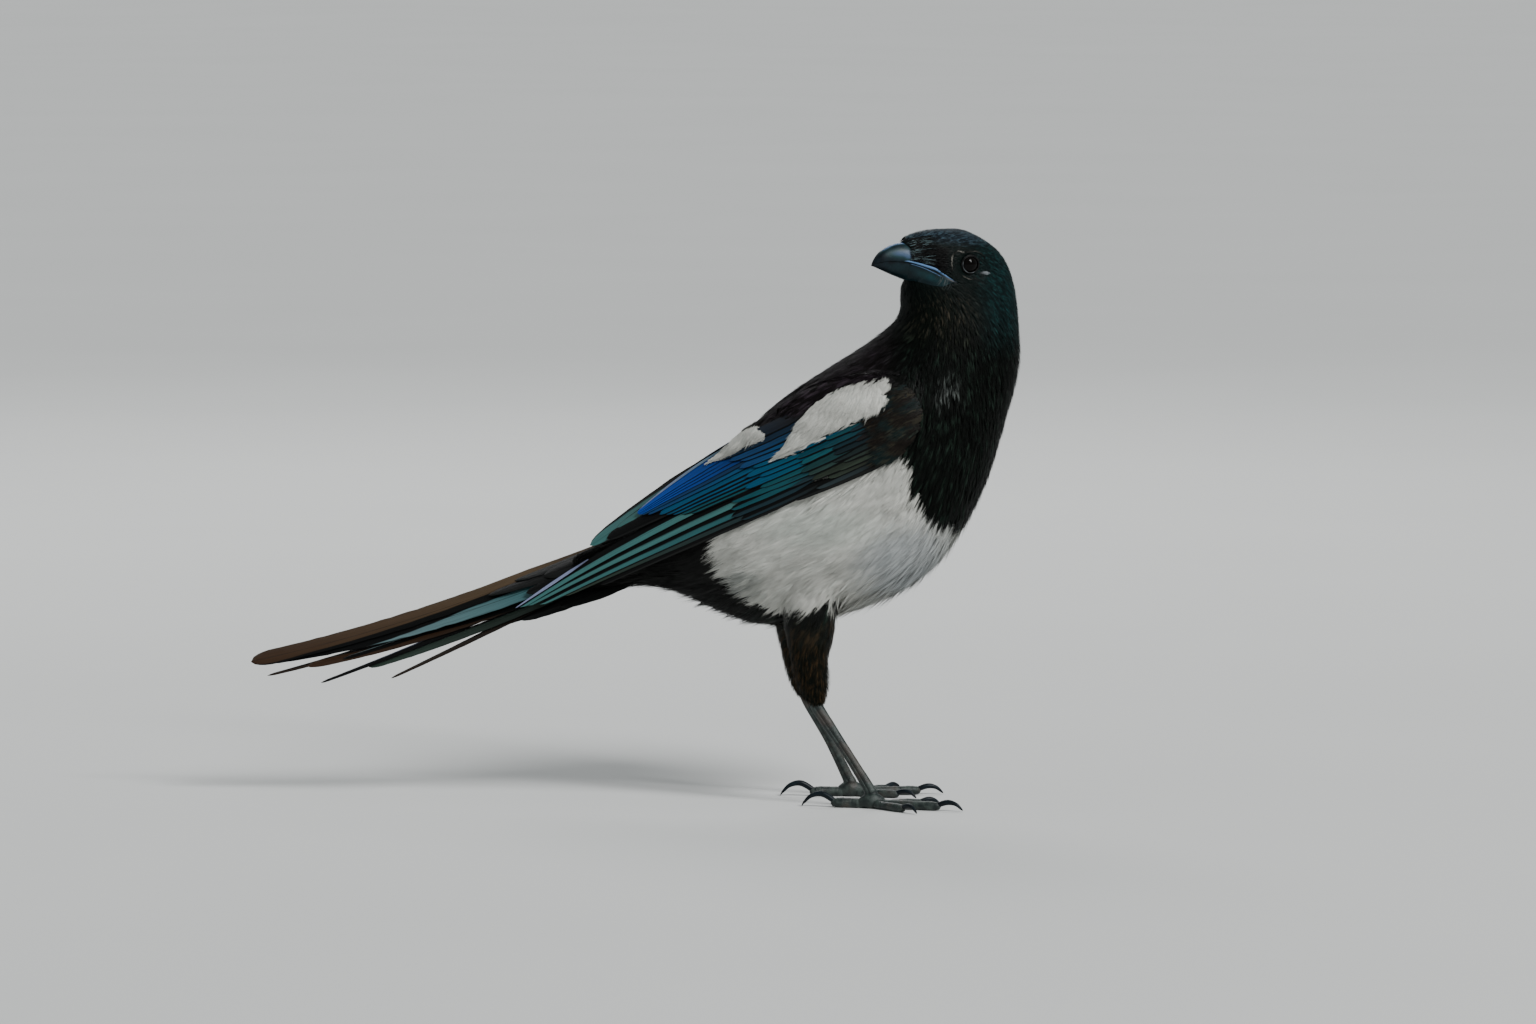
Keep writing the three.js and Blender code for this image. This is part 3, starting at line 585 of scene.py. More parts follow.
def lay_of_coat():
    """Places, ways and sizes of all guides in the bird's frame."""
    places, ways, sizes = [], [], []
    for (x, y, z), way, *size in BODY_GUIDES:
        for side in {math.copysign(1, y), -math.copysign(1, y)} if y else {1}:
            places.append([x, y * side, z])
            ways.append(way)
            sizes.append(size)
    for (forward, out, up), (ahead, outward, upward), *size in HEAD_GUIDES:
        for side in SIDES.values() if out else [1]:
            places.append(head_points(forward, out * side, up))
            ways.append(head_ways([ahead, outward * side, upward]))
            sizes.append(size)
    return np.array(places), unit(np.array(ways, float)), np.array(sizes, float)


GUIDES = lay_of_coat()


def read_guides(points):
    """The way, length, half width and lift of the coat at each point."""
    places, ways, sizes = GUIDES
    way = np.zeros((len(points), 3))
    size = np.zeros((len(points), 3))
    total = np.zeros((len(points), 1))
    for place, its_way, its_size in zip(places, ways, sizes):
        distance = np.linalg.norm(points - place, axis=1, keepdims=True)
        weight = 1 / (distance**2 + GUIDE_REACH) ** 2
        way += weight * its_way
        size += weight * its_size
        total += weight
    return unit(way), size / total


# Markings, with painted glints, sheen and shade

# The crown's black is painted lighter and bluer than the cheek's, as sheen where light falls on the top of
# the head.
BLACK_CROWN = (0.0060, 0.0105, 0.0150)
BLACK_CHEEK = (0.0016, 0.0048, 0.0040)
BLACK_NAPE = (0.0035, 0.0110, 0.0115)
# The lores' black is painted darker, as shade in the hollow before the eye.
BLACK_LORES = (0.0012, 0.0014, 0.0014)
BLACK_THROAT = (0.0040, 0.0060, 0.0036)
BLACK_BREAST = (0.0016, 0.0026, 0.0018)
BLACK_MANTLE = (0.0070, 0.0052, 0.0055)
BLACK_VENT = (0.0020, 0.0022, 0.0018)
BROWN_THIGH = (0.0340, 0.0200, 0.0090)
GREEN_THIGH = (0.0040, 0.0060, 0.0035)
# Painted glints: lighter colours given to the feathers that catch the light, and a pale patch of painted
# sheen on the breast
GLINTS = {
    "crown": (0.050, 0.085, 0.110),
    "nape": (0.012, 0.060, 0.060),
    "throat": (0.055, 0.045, 0.032),
    "breast": (0.010, 0.020, 0.014),
    "bloom": (0.105, 0.115, 0.110),
    "mantle": (0.035, 0.026, 0.034),
}
WHITE = (0.62, 0.62, 0.57)
SHADED_WHITE = (0.46, 0.48, 0.44)
# Colour of a patch of painted shade, cool grey, on the white
COOL_SHADE_WHITE = (0.34, 0.38, 0.42)
# Colour of painted shade, tinged green, on the white
GREEN_SHADE_WHITE = (0.44, 0.52, 0.46)
# Colour of painted shade on frayed tufts of the white
GREY_FRINGE_SHADE = (0.16, 0.18, 0.17)
SHADE_STREAK_SLOPE = 0.47  # of the painted streaks of shade along the flank
BELLY_PATH = closed_curve(BELLY_EDGE, 120)[:-1]


def near(points, centre, radius):
    """1 at the centre, falling to 0 at the radius, which may differ along x, y and z."""
    distance = np.linalg.norm((points - np.array(centre)) / np.array(radius), axis=1)
    return 1 - step_up(0.35, 1.0, distance)


def ripple(points, scale):
    """A slow uneven wave over the body, from 0 to 1."""
    x, y, z = (points / scale).T
    wave = np.sin(x + 1.7 * np.sin(z * 0.9)) + np.sin(1.3 * z + y * 0.7 + 1.1 * np.sin(x * 1.4))
    return 0.5 + 0.25 * wave


def brightest(chance, low, high=0.97):
    """0 for most feathers, rising to 1 for those with the highest chance."""
    return step_up(low, high, chance)


def blend(colour, other, share):
    """Colours mixed with another, each by its own share."""
    return mix(colour, np.asarray(other), np.clip(share, 0, 1)[:, None])


def dark_markings(points, chance):
    """The colour of everything but the white, at each point, with painted glints, a painted sheen patch on
    the breast, painted sheen on the crown and painted shade on the lores.
    """
    x, _, z = points.T
    forward, _, up = into_head(points).T
    mantle = step_up(30, 8, x) * step_up(140, 160, z)
    head = step_up(215, 232, z)
    crown = head * step_up(8, 13, up)
    nape = step_up(205, 232, z) * step_up(4, -12, forward)
    lores = near(points, HEAD_CENTRE, 60) * step_up(11, 15, forward) * step_up(9, 7, up) * step_up(-5, -2, up)
    throat = near(points, head_points(8, 4, -28), 24)
    # A pale patch of painted sheen on the breast
    bloom = near(points, (47, -27, 193), (9, 30, 12))
    thigh = step_up(88, 80, z) * step_up(-45, -38, x) * step_up(16, 8, x)
    speckle = 0.3 * ripple(points, 1.3) + 0.7 * chance
    brown = blend(np.asarray(GREEN_THIGH), BROWN_THIGH, brightest(speckle, 0.35, 0.95))
    colour = np.tile(BLACK_BREAST, (len(points), 1)).astype(float)
    # The glints here are painted highlights on a share of the feathers.
    for other, share in (
        (GLINTS["breast"], brightest(chance, 0.80, 0.98) * 0.7),
        (BLACK_MANTLE, mantle),
        (GLINTS["mantle"], mantle * brightest(chance, 0.62, 0.95) * 0.75),
        (BLACK_VENT, step_up(-40, -60, x) * step_up(150, 130, z)),
        (BLACK_CHEEK, head),
        # Painted sheen: the crown lighter and bluer on top of the head
        (BLACK_CROWN, crown),
        (GLINTS["crown"], crown * brightest(chance, 0.45) * 0.6),
        (BLACK_NAPE, nape * (1 - crown)),
        (GLINTS["nape"], nape * brightest(chance, 0.60) * 0.45),
        # Painted shade: the lores darker in the hollow before the eye
        (BLACK_LORES, lores),
        (BLACK_THROAT, throat),
        (GLINTS["throat"], throat * brightest(chance, 0.76) * 0.8),
        (GLINTS["bloom"], bloom * brightest(chance, 0.55, 0.95) * 0.6),
        (brown, thigh),
    ):
        colour = blend(colour, other, share)
    return colour * mix(0.6, 1.4, chance)[:, None]


def white_markings(points, chance):
    """The colour of the white of belly and flanks, at each point, with painted shade: soft streaks, darker
    towards the bottom, and cool, greenish and grey patches.
    """
    x, y, z = points.T
    white = blend(np.asarray(SHADED_WHITE), WHITE, step_up(-0.3, 0.5, chance))
    # Painted shade: soft streaks along the lie of the flank feathers
    shade_streaks = np.stack([(x + SHADE_STREAK_SLOPE * z) / 5, y, (z - SHADE_STREAK_SLOPE * x) * 1.3], -1)
    white = white * mix(0.80, 1.06, ripple(shade_streaks, 4.0))[:, None]
    # Painted shade: the white darker towards the bottom of the belly
    white = white * mix(1.04, 0.84, step_up(135, 92, z))[:, None]
    # Painted shade: a cool grey patch low on the right of the belly
    white = blend(white, COOL_SHADE_WHITE, near(points, (30, -34, 112), (34, 60, 30)) * 0.55)
    # Painted shade: a greenish grey band across the right of the belly
    white = blend(white, GREEN_SHADE_WHITE, near(points, (-10, -40, 132), (38, 60, 14)) * 0.30)
    # Painted shade: grey on some frayed tufts low at the belly's rear
    fringe_shade = near(points, (-48, -26, 105), (13, 60, 11)) * step_up(0.2, 0.7, chance)
    return blend(white, GREY_FRINGE_SHADE, fringe_shade * 0.7)


def markings(points, chance):
    """The coat's colour at each point, with its painted glints, sheen and shade. Chance, from 0 to 1, varies
    it from feather to feather.
    """
    x, y, z = points.T
    lowest_white = 92 - 14 * (np.abs(y) < 12) - 3 * step_up(0.3, 1, chance)
    white = inside(BELLY_PATH, x, z) & (z > lowest_white)
    return np.where(white[:, None], white_markings(points, chance), dark_markings(points, chance))


# Body feathers

# A tuft is a spray of thin pointed strands. A strand starts at "root" of the tuft's half width and ends at
# "end" of it. Those at the sides start "late" along the tuft and end "short" of its end. "Wide" is a strand's
# half width at its root, in millimetres, "layers" is how many of them lie over the skin, and "curved" strands
# have a bend in the middle.
Tuft = namedtuple("Tuft", "strands root end late short wide layers curved", defaults=[0, False])
TUFTS = {
    "head": Tuft(4, 0.5, 0.75, 0.2, 0.3, 0.22, 8.6),
    "neck": Tuft(5, 0.5, 0.6, 0.2, 0.3, 0.25, 10),
    "breast": Tuft(6, 0.4, 0.75, 0.3, 0.3, 0.30, 10),
    "back": Tuft(9, 0.3, 0.95, 0.4, 0.4, 0.40, 9),
    "belly": Tuft(9, 0.8, 0.7, 0.1, 0.3, 0.17, 13, True),
    "rump": Tuft(7, 0.4, 0.8, 0.3, 0.4, 0.35, 9),
    "thighs": Tuft(5, 0.4, 0.8, 0.3, 0.35, 0.28, 9),
    "shoulders": Tuft(8, 0.3, 0.95, 0.4, 0.4, 0.4, 8),
}
WHITE_TUFT = Tuft(9, 0.6, 0.6, 0.1, 0.4, 0.15, curved=True)
TUFT_PATCH = 0.003  # side of a tuft's square on its piece's map, whose side is 1


def axis_unwrap(points):
    """Where a point of the body lies on an unwrap of the skin: round it, and along its bent axis."""
    around, at_once = 24, 4000
    t = np.linspace(0, len(STATIONS) - 1, 160)
    rings = body_rings(t, around, 0.0)
    axis = rings.mean(1)
    u, v = np.empty(len(points)), np.empty(len(points))
    for start in range(0, len(points), at_once):
        some = points[start:start + at_once]
        best = ((some[:, None] - axis[None]) ** 2).sum(-1).argmin(1)
        out = some - axis[best]
        up = unit(rings[best, 0] - axis[best])
        over = unit(rings[best, around // 4] - axis[best])
        angle = np.arctan2((out * over).sum(-1), (out * up).sum(-1))
        u[start:start + at_once] = angle / (2 * np.pi) + 0.5
        v[start:start + at_once] = best / len(t)
    return mix(0.02, 0.98, np.stack([u, v], -1))


def strand_plan(kind, count, jitter):
    """Across, along, sideways offset in millimetres, and depth of the points of each tuft's strands."""
    many = (count, kind.strands)
    place = np.linspace(-1, 1, kind.strands)[None] + jitter.uniform(-0.6, 0.6, many) / kind.strands
    start = np.stack([place * kind.root, kind.late * (1 - np.abs(place)).clip(0)], -1)
    end = np.stack([
        place * kind.end + jitter.normal(0, 0.12, many),
        1 - kind.short * place**2 - jitter.uniform(0, 0.22, many),
    ], -1)
    middle = mix(start, end, 0.5) + np.stack([place * 0.12, 0 * place], -1)
    wide = kind.wide * jitter.uniform(0.75, 1.2, many)
    levels = [(start, 0.45), (middle, 1.0)] if kind.curved else [(start, 1.0)]
    rows = []
    for spot, share in levels:
        for offset, depth in ((-1, 0.0), (1, 0.0), (0, -0.3)):
            rows.append([spot[..., 0], spot[..., 1], offset * wide * share, depth * wide * share])
    rows.append([end[..., 0], end[..., 1], 0 * wide, 0 * wide])
    return np.stack([np.stack(row, -1) for row in rows], 2)


def strand_faces(curved):
    """Triangles of one closed strand: rings of left, right and under points, and a tip."""
    last, tip = (3, 6) if curved else (0, 3)
    faces = [[0, 2, 1]]
    for a, b in ((0, 1), (1, 2), (2, 0)) if curved else ():
        faces += [[a, b, last + b], [a, last + b, last + a]]
    return np.array(faces + [[last, last + 1, tip], [last + 1, last + 2, tip], [last + 2, last, tip]])


def many_faces(faces, count, each):
    """The faces of as many like bodies, each with as many points."""
    return (faces[None] + (np.arange(count) * each)[:, None, None]).reshape(-1, 3)


def add_tufts(shape, spines, normals, half_width, lift, colour, places, kind, jitter):
    """Adds one tuft for each spine of root, middle and end points.

    Normals are the ways out of the skin at these points. Places are those of the tufts on the piece's map."""
    count = len(spines)
    plan = strand_plan(kind, count, jitter)
    strands, each = plan.shape[1:3]
    u, v, offset, depth = plan.reshape(count, -1, 4).transpose(2, 0, 1)
    t = v[..., None]
    first, middle, final = [spines[:, k][:, None] for k in range(3)]
    path = (1 - t) ** 2 * first + 2 * t * (1 - t) * (2 * middle - (first + final) / 2) + t**2 * final
    normal = unit(mix(normals[:, 0][:, None], normals[:, 2][:, None], t))
    ahead = unit(spines[:, 2] - spines[:, 0])[:, None]
    sideways = unit(np.cross(ahead, normal))
    stray = np.repeat(jitter.normal(0, 0.09, (count, strands)), each, 1) * v
    rise = np.interp(v, [0, 0.3, 0.75, 1.0], [-0.35, 0.45, 0.92, 1.0]) * lift[:, None] * (1 + stray)
    cup = -0.16 * u**2 * half_width[:, None]
    out = u * half_width[:, None] + offset
    points = path + sideways * out[..., None] + normal * (rise + cup + depth)[..., None]
    faces = many_faces(strand_faces(kind.curved), count * strands, each)
    tilt = 0.35 * u + 0.45 * np.sign(offset)
    shading = unit(normal + sideways * tilt[..., None] + ahead * (0.25 * v - 0.1)[..., None])
    shading = np.where(depth[..., None] < 0, -shading, shading)
    patch = places[:, None] + TUFT_PATCH * np.stack([u.clip(-1, 1) / 2, v.clip(0, 1) - 0.5], -1)
    shades = np.repeat(jitter.random((count, strands)), each, 1)
    shape.add(points, faces, {
        "Coat": np.repeat(colour, strands * each, 0),
        "Chance": shades.ravel(),
        "Along": v.ravel(),
    }, {"OFBake": patch.reshape(-1, 2)[faces.ravel()]})
    shape.shading.append(shading.reshape(-1, 3))


def scatter(mesh, density, jitter):
    """Random places on a mesh, as many to the square millimetre as density gives at each."""
    a, b, c = mesh_points(mesh)[mesh_triangles(mesh)].transpose(1, 0, 2)
    area = np.linalg.norm(np.cross(b - a, c - a), axis=1) / 2
    index = np.repeat(np.arange(len(a)), jitter.poisson(density((a + b + c) / 3) * area))
    r1, r2 = np.sqrt(jitter.random(len(index)))[:, None], jitter.random(len(index))[:, None]
    return a[index] * (1 - r1) + b[index] * r1 * (1 - r2) + c[index] * r1 * r2


def surface_finder(mesh):
    """A function that gives the nearest points and normals of a mesh."""
    triangles = mesh_triangles(mesh)
    tree = BVHTree.FromPolygons(mesh_points(mesh).tolist(), triangles.tolist())
    normals = np.empty(len(mesh.vertices) * 3)
    mesh.vertices.foreach_get("normal", normals)
    smooth = unit(normals.reshape(-1, 3)[triangles].mean(1))

    def nearest(queries):
        at, index = np.empty_like(queries), np.empty(len(queries), int)
        for n, query in enumerate(queries.tolist()):
            at[n], _, index[n], _ = tree.find_nearest(query)
        return at, smooth[index]

    return nearest


def side_finder(mesh):
    """A function that gives how far out the skin lies at places of the head's frame."""
    tree = BVHTree.FromPolygons(mesh_points(mesh).tolist(), mesh_triangles(mesh).tolist())
    beyond = 40.0

    def out_at(forward, side, up):
        forward, up = np.broadcast_arrays(forward, up)
        starts = head_points(forward, side * beyond, up).reshape(-1, 3)
        way = head_ways([0, -side, 0]).tolist()
        found = np.zeros(len(starts))
        for n, start in enumerate(starts.tolist()):
            distance = tree.ray_cast(start, way, beyond)[3]
            found[n] = 0.0 if distance is None else beyond - distance
        return found.reshape(forward.shape)

    return out_at


def walk(nearest, roots, way_at, length, turn):
    """Spines that follow a surface from each root along the lie of its coat, veering by turn at each step."""
    spots, normals = nearest(roots)
    spines, ups = [spots], [normals]
    for _ in range(2):
        way = tangent(way_at(spines[-1]), ups[-1])
        side = np.cross(way, ups[-1])
        way = unit(way + side * turn[:, None])
        spot, up = nearest(spines[-1] + way * length[:, None] / 2)
        spines.append(spot)
        ups.append(up)
    return np.stack(spines, 1), np.stack(ups, 1)


ZONES = ["head", "neck", "breast", "back", "belly_right", "belly_left", "belly_rear", "rump", "thighs",
         "shoulders"]


def zone_of(points):
    """The index in ZONES of the zone that each point of the skin is in."""
    x, y, z = points.T
    p, q = wing_place(points)
    out = np.abs(y)
    low = inside(BELLY_PATH, x, z) | ((z < 120) & (x > -70) & (x < 60) & (out > 6))
    on_pad = (p > -12) & (p < 54) & (q > graph(WING_LOW, p) - 1) & (q < graph(WING_HIGH, p) + 1)
    zone = np.full(len(points), ZONES.index("breast"))
    for name, where in (
        ("back", x < 20),
        ("neck", z > 200),
        ("head", z > 226),
        ("belly_right", low & (y <= 0)),
        ("belly_left", low & (y > 0)),
        ("belly_rear", low & (x < -20)),
        ("rump", (x < -64) & ~low),
        ("thighs", (z < 82) & (x < 20)),
        ("shoulders", on_pad & (out > 26)),
    ):
        zone[where] = ZONES.index(name)
    return zone


def tuft_of(zone):
    """The kind of tuft that grows in a zone."""
    return TUFTS[zone.split("_")[0]]


def hidden(points):
    """True where the folded wing, the bill or the tail lies over the skin, and where it is bare."""
    p, q = wing_place(points)
    low, high = graph(WING_LOW, p), graph(WING_HIGH, p)
    under_wing = (p > 6) & (p < 150) & (q > low + 3.5) & (q < high - 4) & (np.abs(points[:, 1]) > 12)
    forward, side, up = into_head(points).T
    out = np.abs(side)
    in_bill = (forward > mix(29, 32, step_up(8, 10.5, up))) & (out < 8) & (np.abs(up) < 15)
    under_tail = points[:, 0] < UNDER_TAIL
    return under_wing | in_bill | under_tail | on_gape(forward, out, up)


def on_gape(forward, out, up):
    """True on the bare base of the lower bill and on the mouth's corner, which carry no feathers."""
    below = graph(GAPE_EDGE, forward)
    above = graph(MOUTH, forward) + 0.5
    return (forward > 8) & (forward < 34) & (out > 1.5) & (up < above) & (up > below)


def eye_room(points):
    """Distance from each point to the middle of the nearer eye's opening."""
    eyes = [head_points(EYE["forward"], side * LID["side"], EYE["up"]) for side in SIDES.values()]
    return np.min([np.linalg.norm(points - eye, axis=1) for eye in eyes], axis=0)


def coat_density(points):
    """How many tufts grow on each square millimetre of skin at each point."""
    bent = 1.5  # a curved strand covers this much more
    length = read_guides(points)[1][:, 0]
    zone = zone_of(points)
    density = np.zeros(len(points))
    for index, name in enumerate(ZONES):
        kind = tuft_of(name)
        cover = length * kind.strands * kind.wide * (bent if kind.curved else 1)
        density = np.where(zone == index, kind.layers / cover, density)
    return density


def make_coat(skin, material, white):
    """Tufts all over the skin, in one piece for each zone."""
    jitter = np.random.default_rng(SEED)
    nearest = surface_finder(skin.data)
    roots = scatter(skin.data, coat_density, jitter)
    roots = roots[~hidden(roots) & (eye_room(roots) > LID["radius"])]
    count = len(roots)
    zone = zone_of(roots)
    size = read_guides(roots)[1]
    open_up = step_up(4.5, 8, eye_room(roots))
    length = size[:, 0] * jitter.uniform(0.8, 1.15, count) * mix(0.45, 1, open_up)
    half = size[:, 1] * jitter.uniform(0.8, 1.15, count) * mix(0.6, 1, open_up)
    lift = size[:, 2] * jitter.uniform(0.75, 1.12, count) * mix(0.5, 1, open_up)
    turn = jitter.normal(0, 0.10, count)
    spines, normals = walk(nearest, roots, lambda points: read_guides(points)[0], length, turn)
    # About a quarter of the tufts under the belly hang down by a few millimetres
    under = step_up(-0.1, -0.7, normals[:, 0, 2])
    under = under * step_up(-90, -70, roots[:, 0]) * step_up(76, 84, roots[:, 2])
    shaggy = (under * (jitter.random(count) > 0.72) * jitter.uniform(1.0, 4.2, count))[:, None]
    spines[:, 2] += (normals[:, 2] * 0.6 + [0, 0, -0.5]) * shaggy
    spines[:, 1] += (normals[:, 1] * 0.6 + [0, 0, -0.5]) * 0.2 * shaggy
    chance = jitter.random(count)
    colour = markings(mix(spines[:, 0], spines[:, 2], 0.55), chance)
    places = axis_unwrap(roots)
    for index, name in enumerate(ZONES):
        mine = zone == index
        each = [rows[mine] for rows in (spines, normals, half, lift, colour, places)]
        shape = Shape()
        add_tufts(shape, *each, tuft_of(name), jitter)
        pale = name.startswith("belly")
        finish_piece(shape.build("coat_" + name), white if pale else material)


# Flight feathers

class Sheet:
    """Cells of a square map, handed out row by row, so that each vane has its own place on it."""

    def __init__(self, columns, rows):
        self.columns, self.rows, self.used = columns, rows, 0

    def cell(self):
        """The low corner and the size of the next cell, within its margin."""
        row, column = divmod(self.used, self.columns)
        self.used += 1
        low = np.array([column / self.columns, row / self.rows])
        size = np.array([1 / self.columns, 1 / self.rows])
        margin = 0.06
        return low + margin * size, (1 - 2 * margin) * size


def grid(u, t):
    """Rows of each u with each t, as places of the points of a vane."""
    return np.stack(np.broadcast_arrays(u[None], t[:, None]), -1).reshape(-1, 2)


def closed_vane(rows, columns):
    """Quads of a closed vane: its upper points row by row, then its under points."""
    n = rows * columns
    quads = sleeve_faces(rows, columns, closed=False)
    i = np.arange(rows - 1) * columns
    j = np.arange(columns - 1)
    end, far = columns - 1, (rows - 1) * columns
    return np.concatenate([
        quads,
        quads[:, ::-1] + n,
        np.stack([i, i + columns, i + columns + n, i + n], -1),
        np.stack([i + end + columns, i + end, i + end + n, i + end + columns + n], -1),
        np.stack([j + 1, j, j + n, j + 1 + n], -1),
        np.stack([j + far, j + 1 + far, j + 1 + far + n, j + far + n], -1),
    ])


def add_plume(shape, sheet, surface, root, tip, half, lift, tint, span, jitter, shaft=-0.3, bow=0.0,
              blunt=0.5, thick=0.35, steps=22, lanes=8, wave=0.012, flip=False):
    """Adds one flight feather as a closed vane on a surface of p, q and h.

    Lift gives its height from p and q. Tint holds its glossy colour at the root and at the tip. Span is the
    share of its width with that colour, from its lower edge, or from its upper edge with flip. Shaft is where
    its shaft runs, from -1 at the lower edge to 1. Blunt goes from 0, a pointed tip, to 1, a rounded one, and
    wave is how ragged the edges are."""
    root, tip = np.array(root, float), np.array(tip, float)
    reach = np.linalg.norm(tip - root)
    along = (tip - root) / reach
    across = np.array([-along[1], along[0]])
    t = 1 - (1 - np.linspace(0, 1, steps + 1)) ** 1.25
    cap = np.clip(2.2 * half / reach, 0.03, 0.25)
    rounded = np.sqrt(np.clip(1 - ((t - 1 + cap) / cap).clip(0) ** 2, 0, 1))
    pointed = np.clip((1 - t) / 0.45, 0, 1) ** 0.8
    end = mix(pointed, rounded, blunt)
    spread = np.minimum(1, 0.35 + 2.6 * t) * np.maximum(end, 0.03)
    u = np.linspace(-1, 1, lanes + 1)
    ragged = 1 + wave * jitter.normal(0, 1, (steps + 1, 2)) * (t > 0.3)[:, None]
    edge = np.where(u[None] < 0, ragged[:, :1], ragged[:, 1:])
    c = u[None] * half * spread[:, None] * edge
    centre = root + along * (t * reach)[:, None] + across * (bow * 4 * t * (1 - t))[:, None]
    p = centre[:, 0][:, None] + across[0] * c
    q = centre[:, 1][:, None] + across[1] * c
    camber = -0.055 * half * u**2 + 0.16 * np.exp(-((u - shaft) / 0.13) ** 2) * (1 - t[:, None])
    base = lift(p, q) + camber
    body = thick * (1 - 0.8 * u**2) * mix(1, 0.45, t)[:, None] + 0.04
    top, under = surface(p, q, base), surface(p, q, base - body)
    faces = closed_vane(steps + 1, lanes + 1)
    points = np.concatenate([top, under]).reshape(-1, 3)
    a, b, d, e = [points[faces[:, k]] for k in range(4)]
    if (a * np.cross(b, d)).sum() + (a * np.cross(d, e)).sum() < 0:
        faces = faces[:, ::-1]
    web = 0.5 + 0.5 * (u - shaft) / np.where(u > shaft, 1 - shaft, 1 + shaft)
    vane = grid(1 - web if flip else web, t)
    low, size = sheet.cell()
    wide = 0.46
    flat = grid(u / 2 + 0.5, t) * [wide, 1]
    bake = low + np.concatenate([flat, flat + [1 - wide, 0]]) * size
    share = np.tile(np.repeat(t, lanes + 1), 2)
    corners = faces.ravel()
    shape.add(points, faces, {
        "Tint": mix(np.array(tint[0]), np.array(tint[1]), share[:, None]),
        "Span": mix(span[0], span[1], share),
        "Chance": np.full(len(points), jitter.random()),
    }, {"Vane": np.concatenate([vane, vane])[corners], "OFBake": bake[corners]})


SHINGLE = 0.09  # how far a feather sinks from its lower edge to its upper one, for each millimetre across
TIER_RISE = 0.1  # how far each feather lies over the one below it, for each millimetre up the wing
WING_EDGE = -12  # q near the wing's lower edge, from which these rises are counted


def tier_lift(above, edge):
    """The height at p and q of a feather whose lower edge lies at q of edge."""
    level = 0.9 + above + TIER_RISE * (edge - WING_EDGE)
    return lambda p, q: level - SHINGLE * (q - edge)


BLUE = (0.004, 0.055, 0.330)
DEEP_BLUE = (0.004, 0.038, 0.120)
NIGHT_BLUE = (0.002, 0.013, 0.030)
TEAL_BLUE = (0.003, 0.060, 0.125)
TEAL = (0.004, 0.058, 0.072)
DARK_TEAL = (0.004, 0.020, 0.028)
GREY_TEAL = (0.042, 0.130, 0.125)
OLIVE = (0.020, 0.030, 0.020)
SLATE = (0.018, 0.030, 0.034)
SOOT = (0.0035, 0.0040, 0.0036)
BROWN_BLACK = (0.0080, 0.0060, 0.0048)
LILAC = (0.20, 0.23, 0.36)
PALE_BLUE = (0.080, 0.150, 0.190)

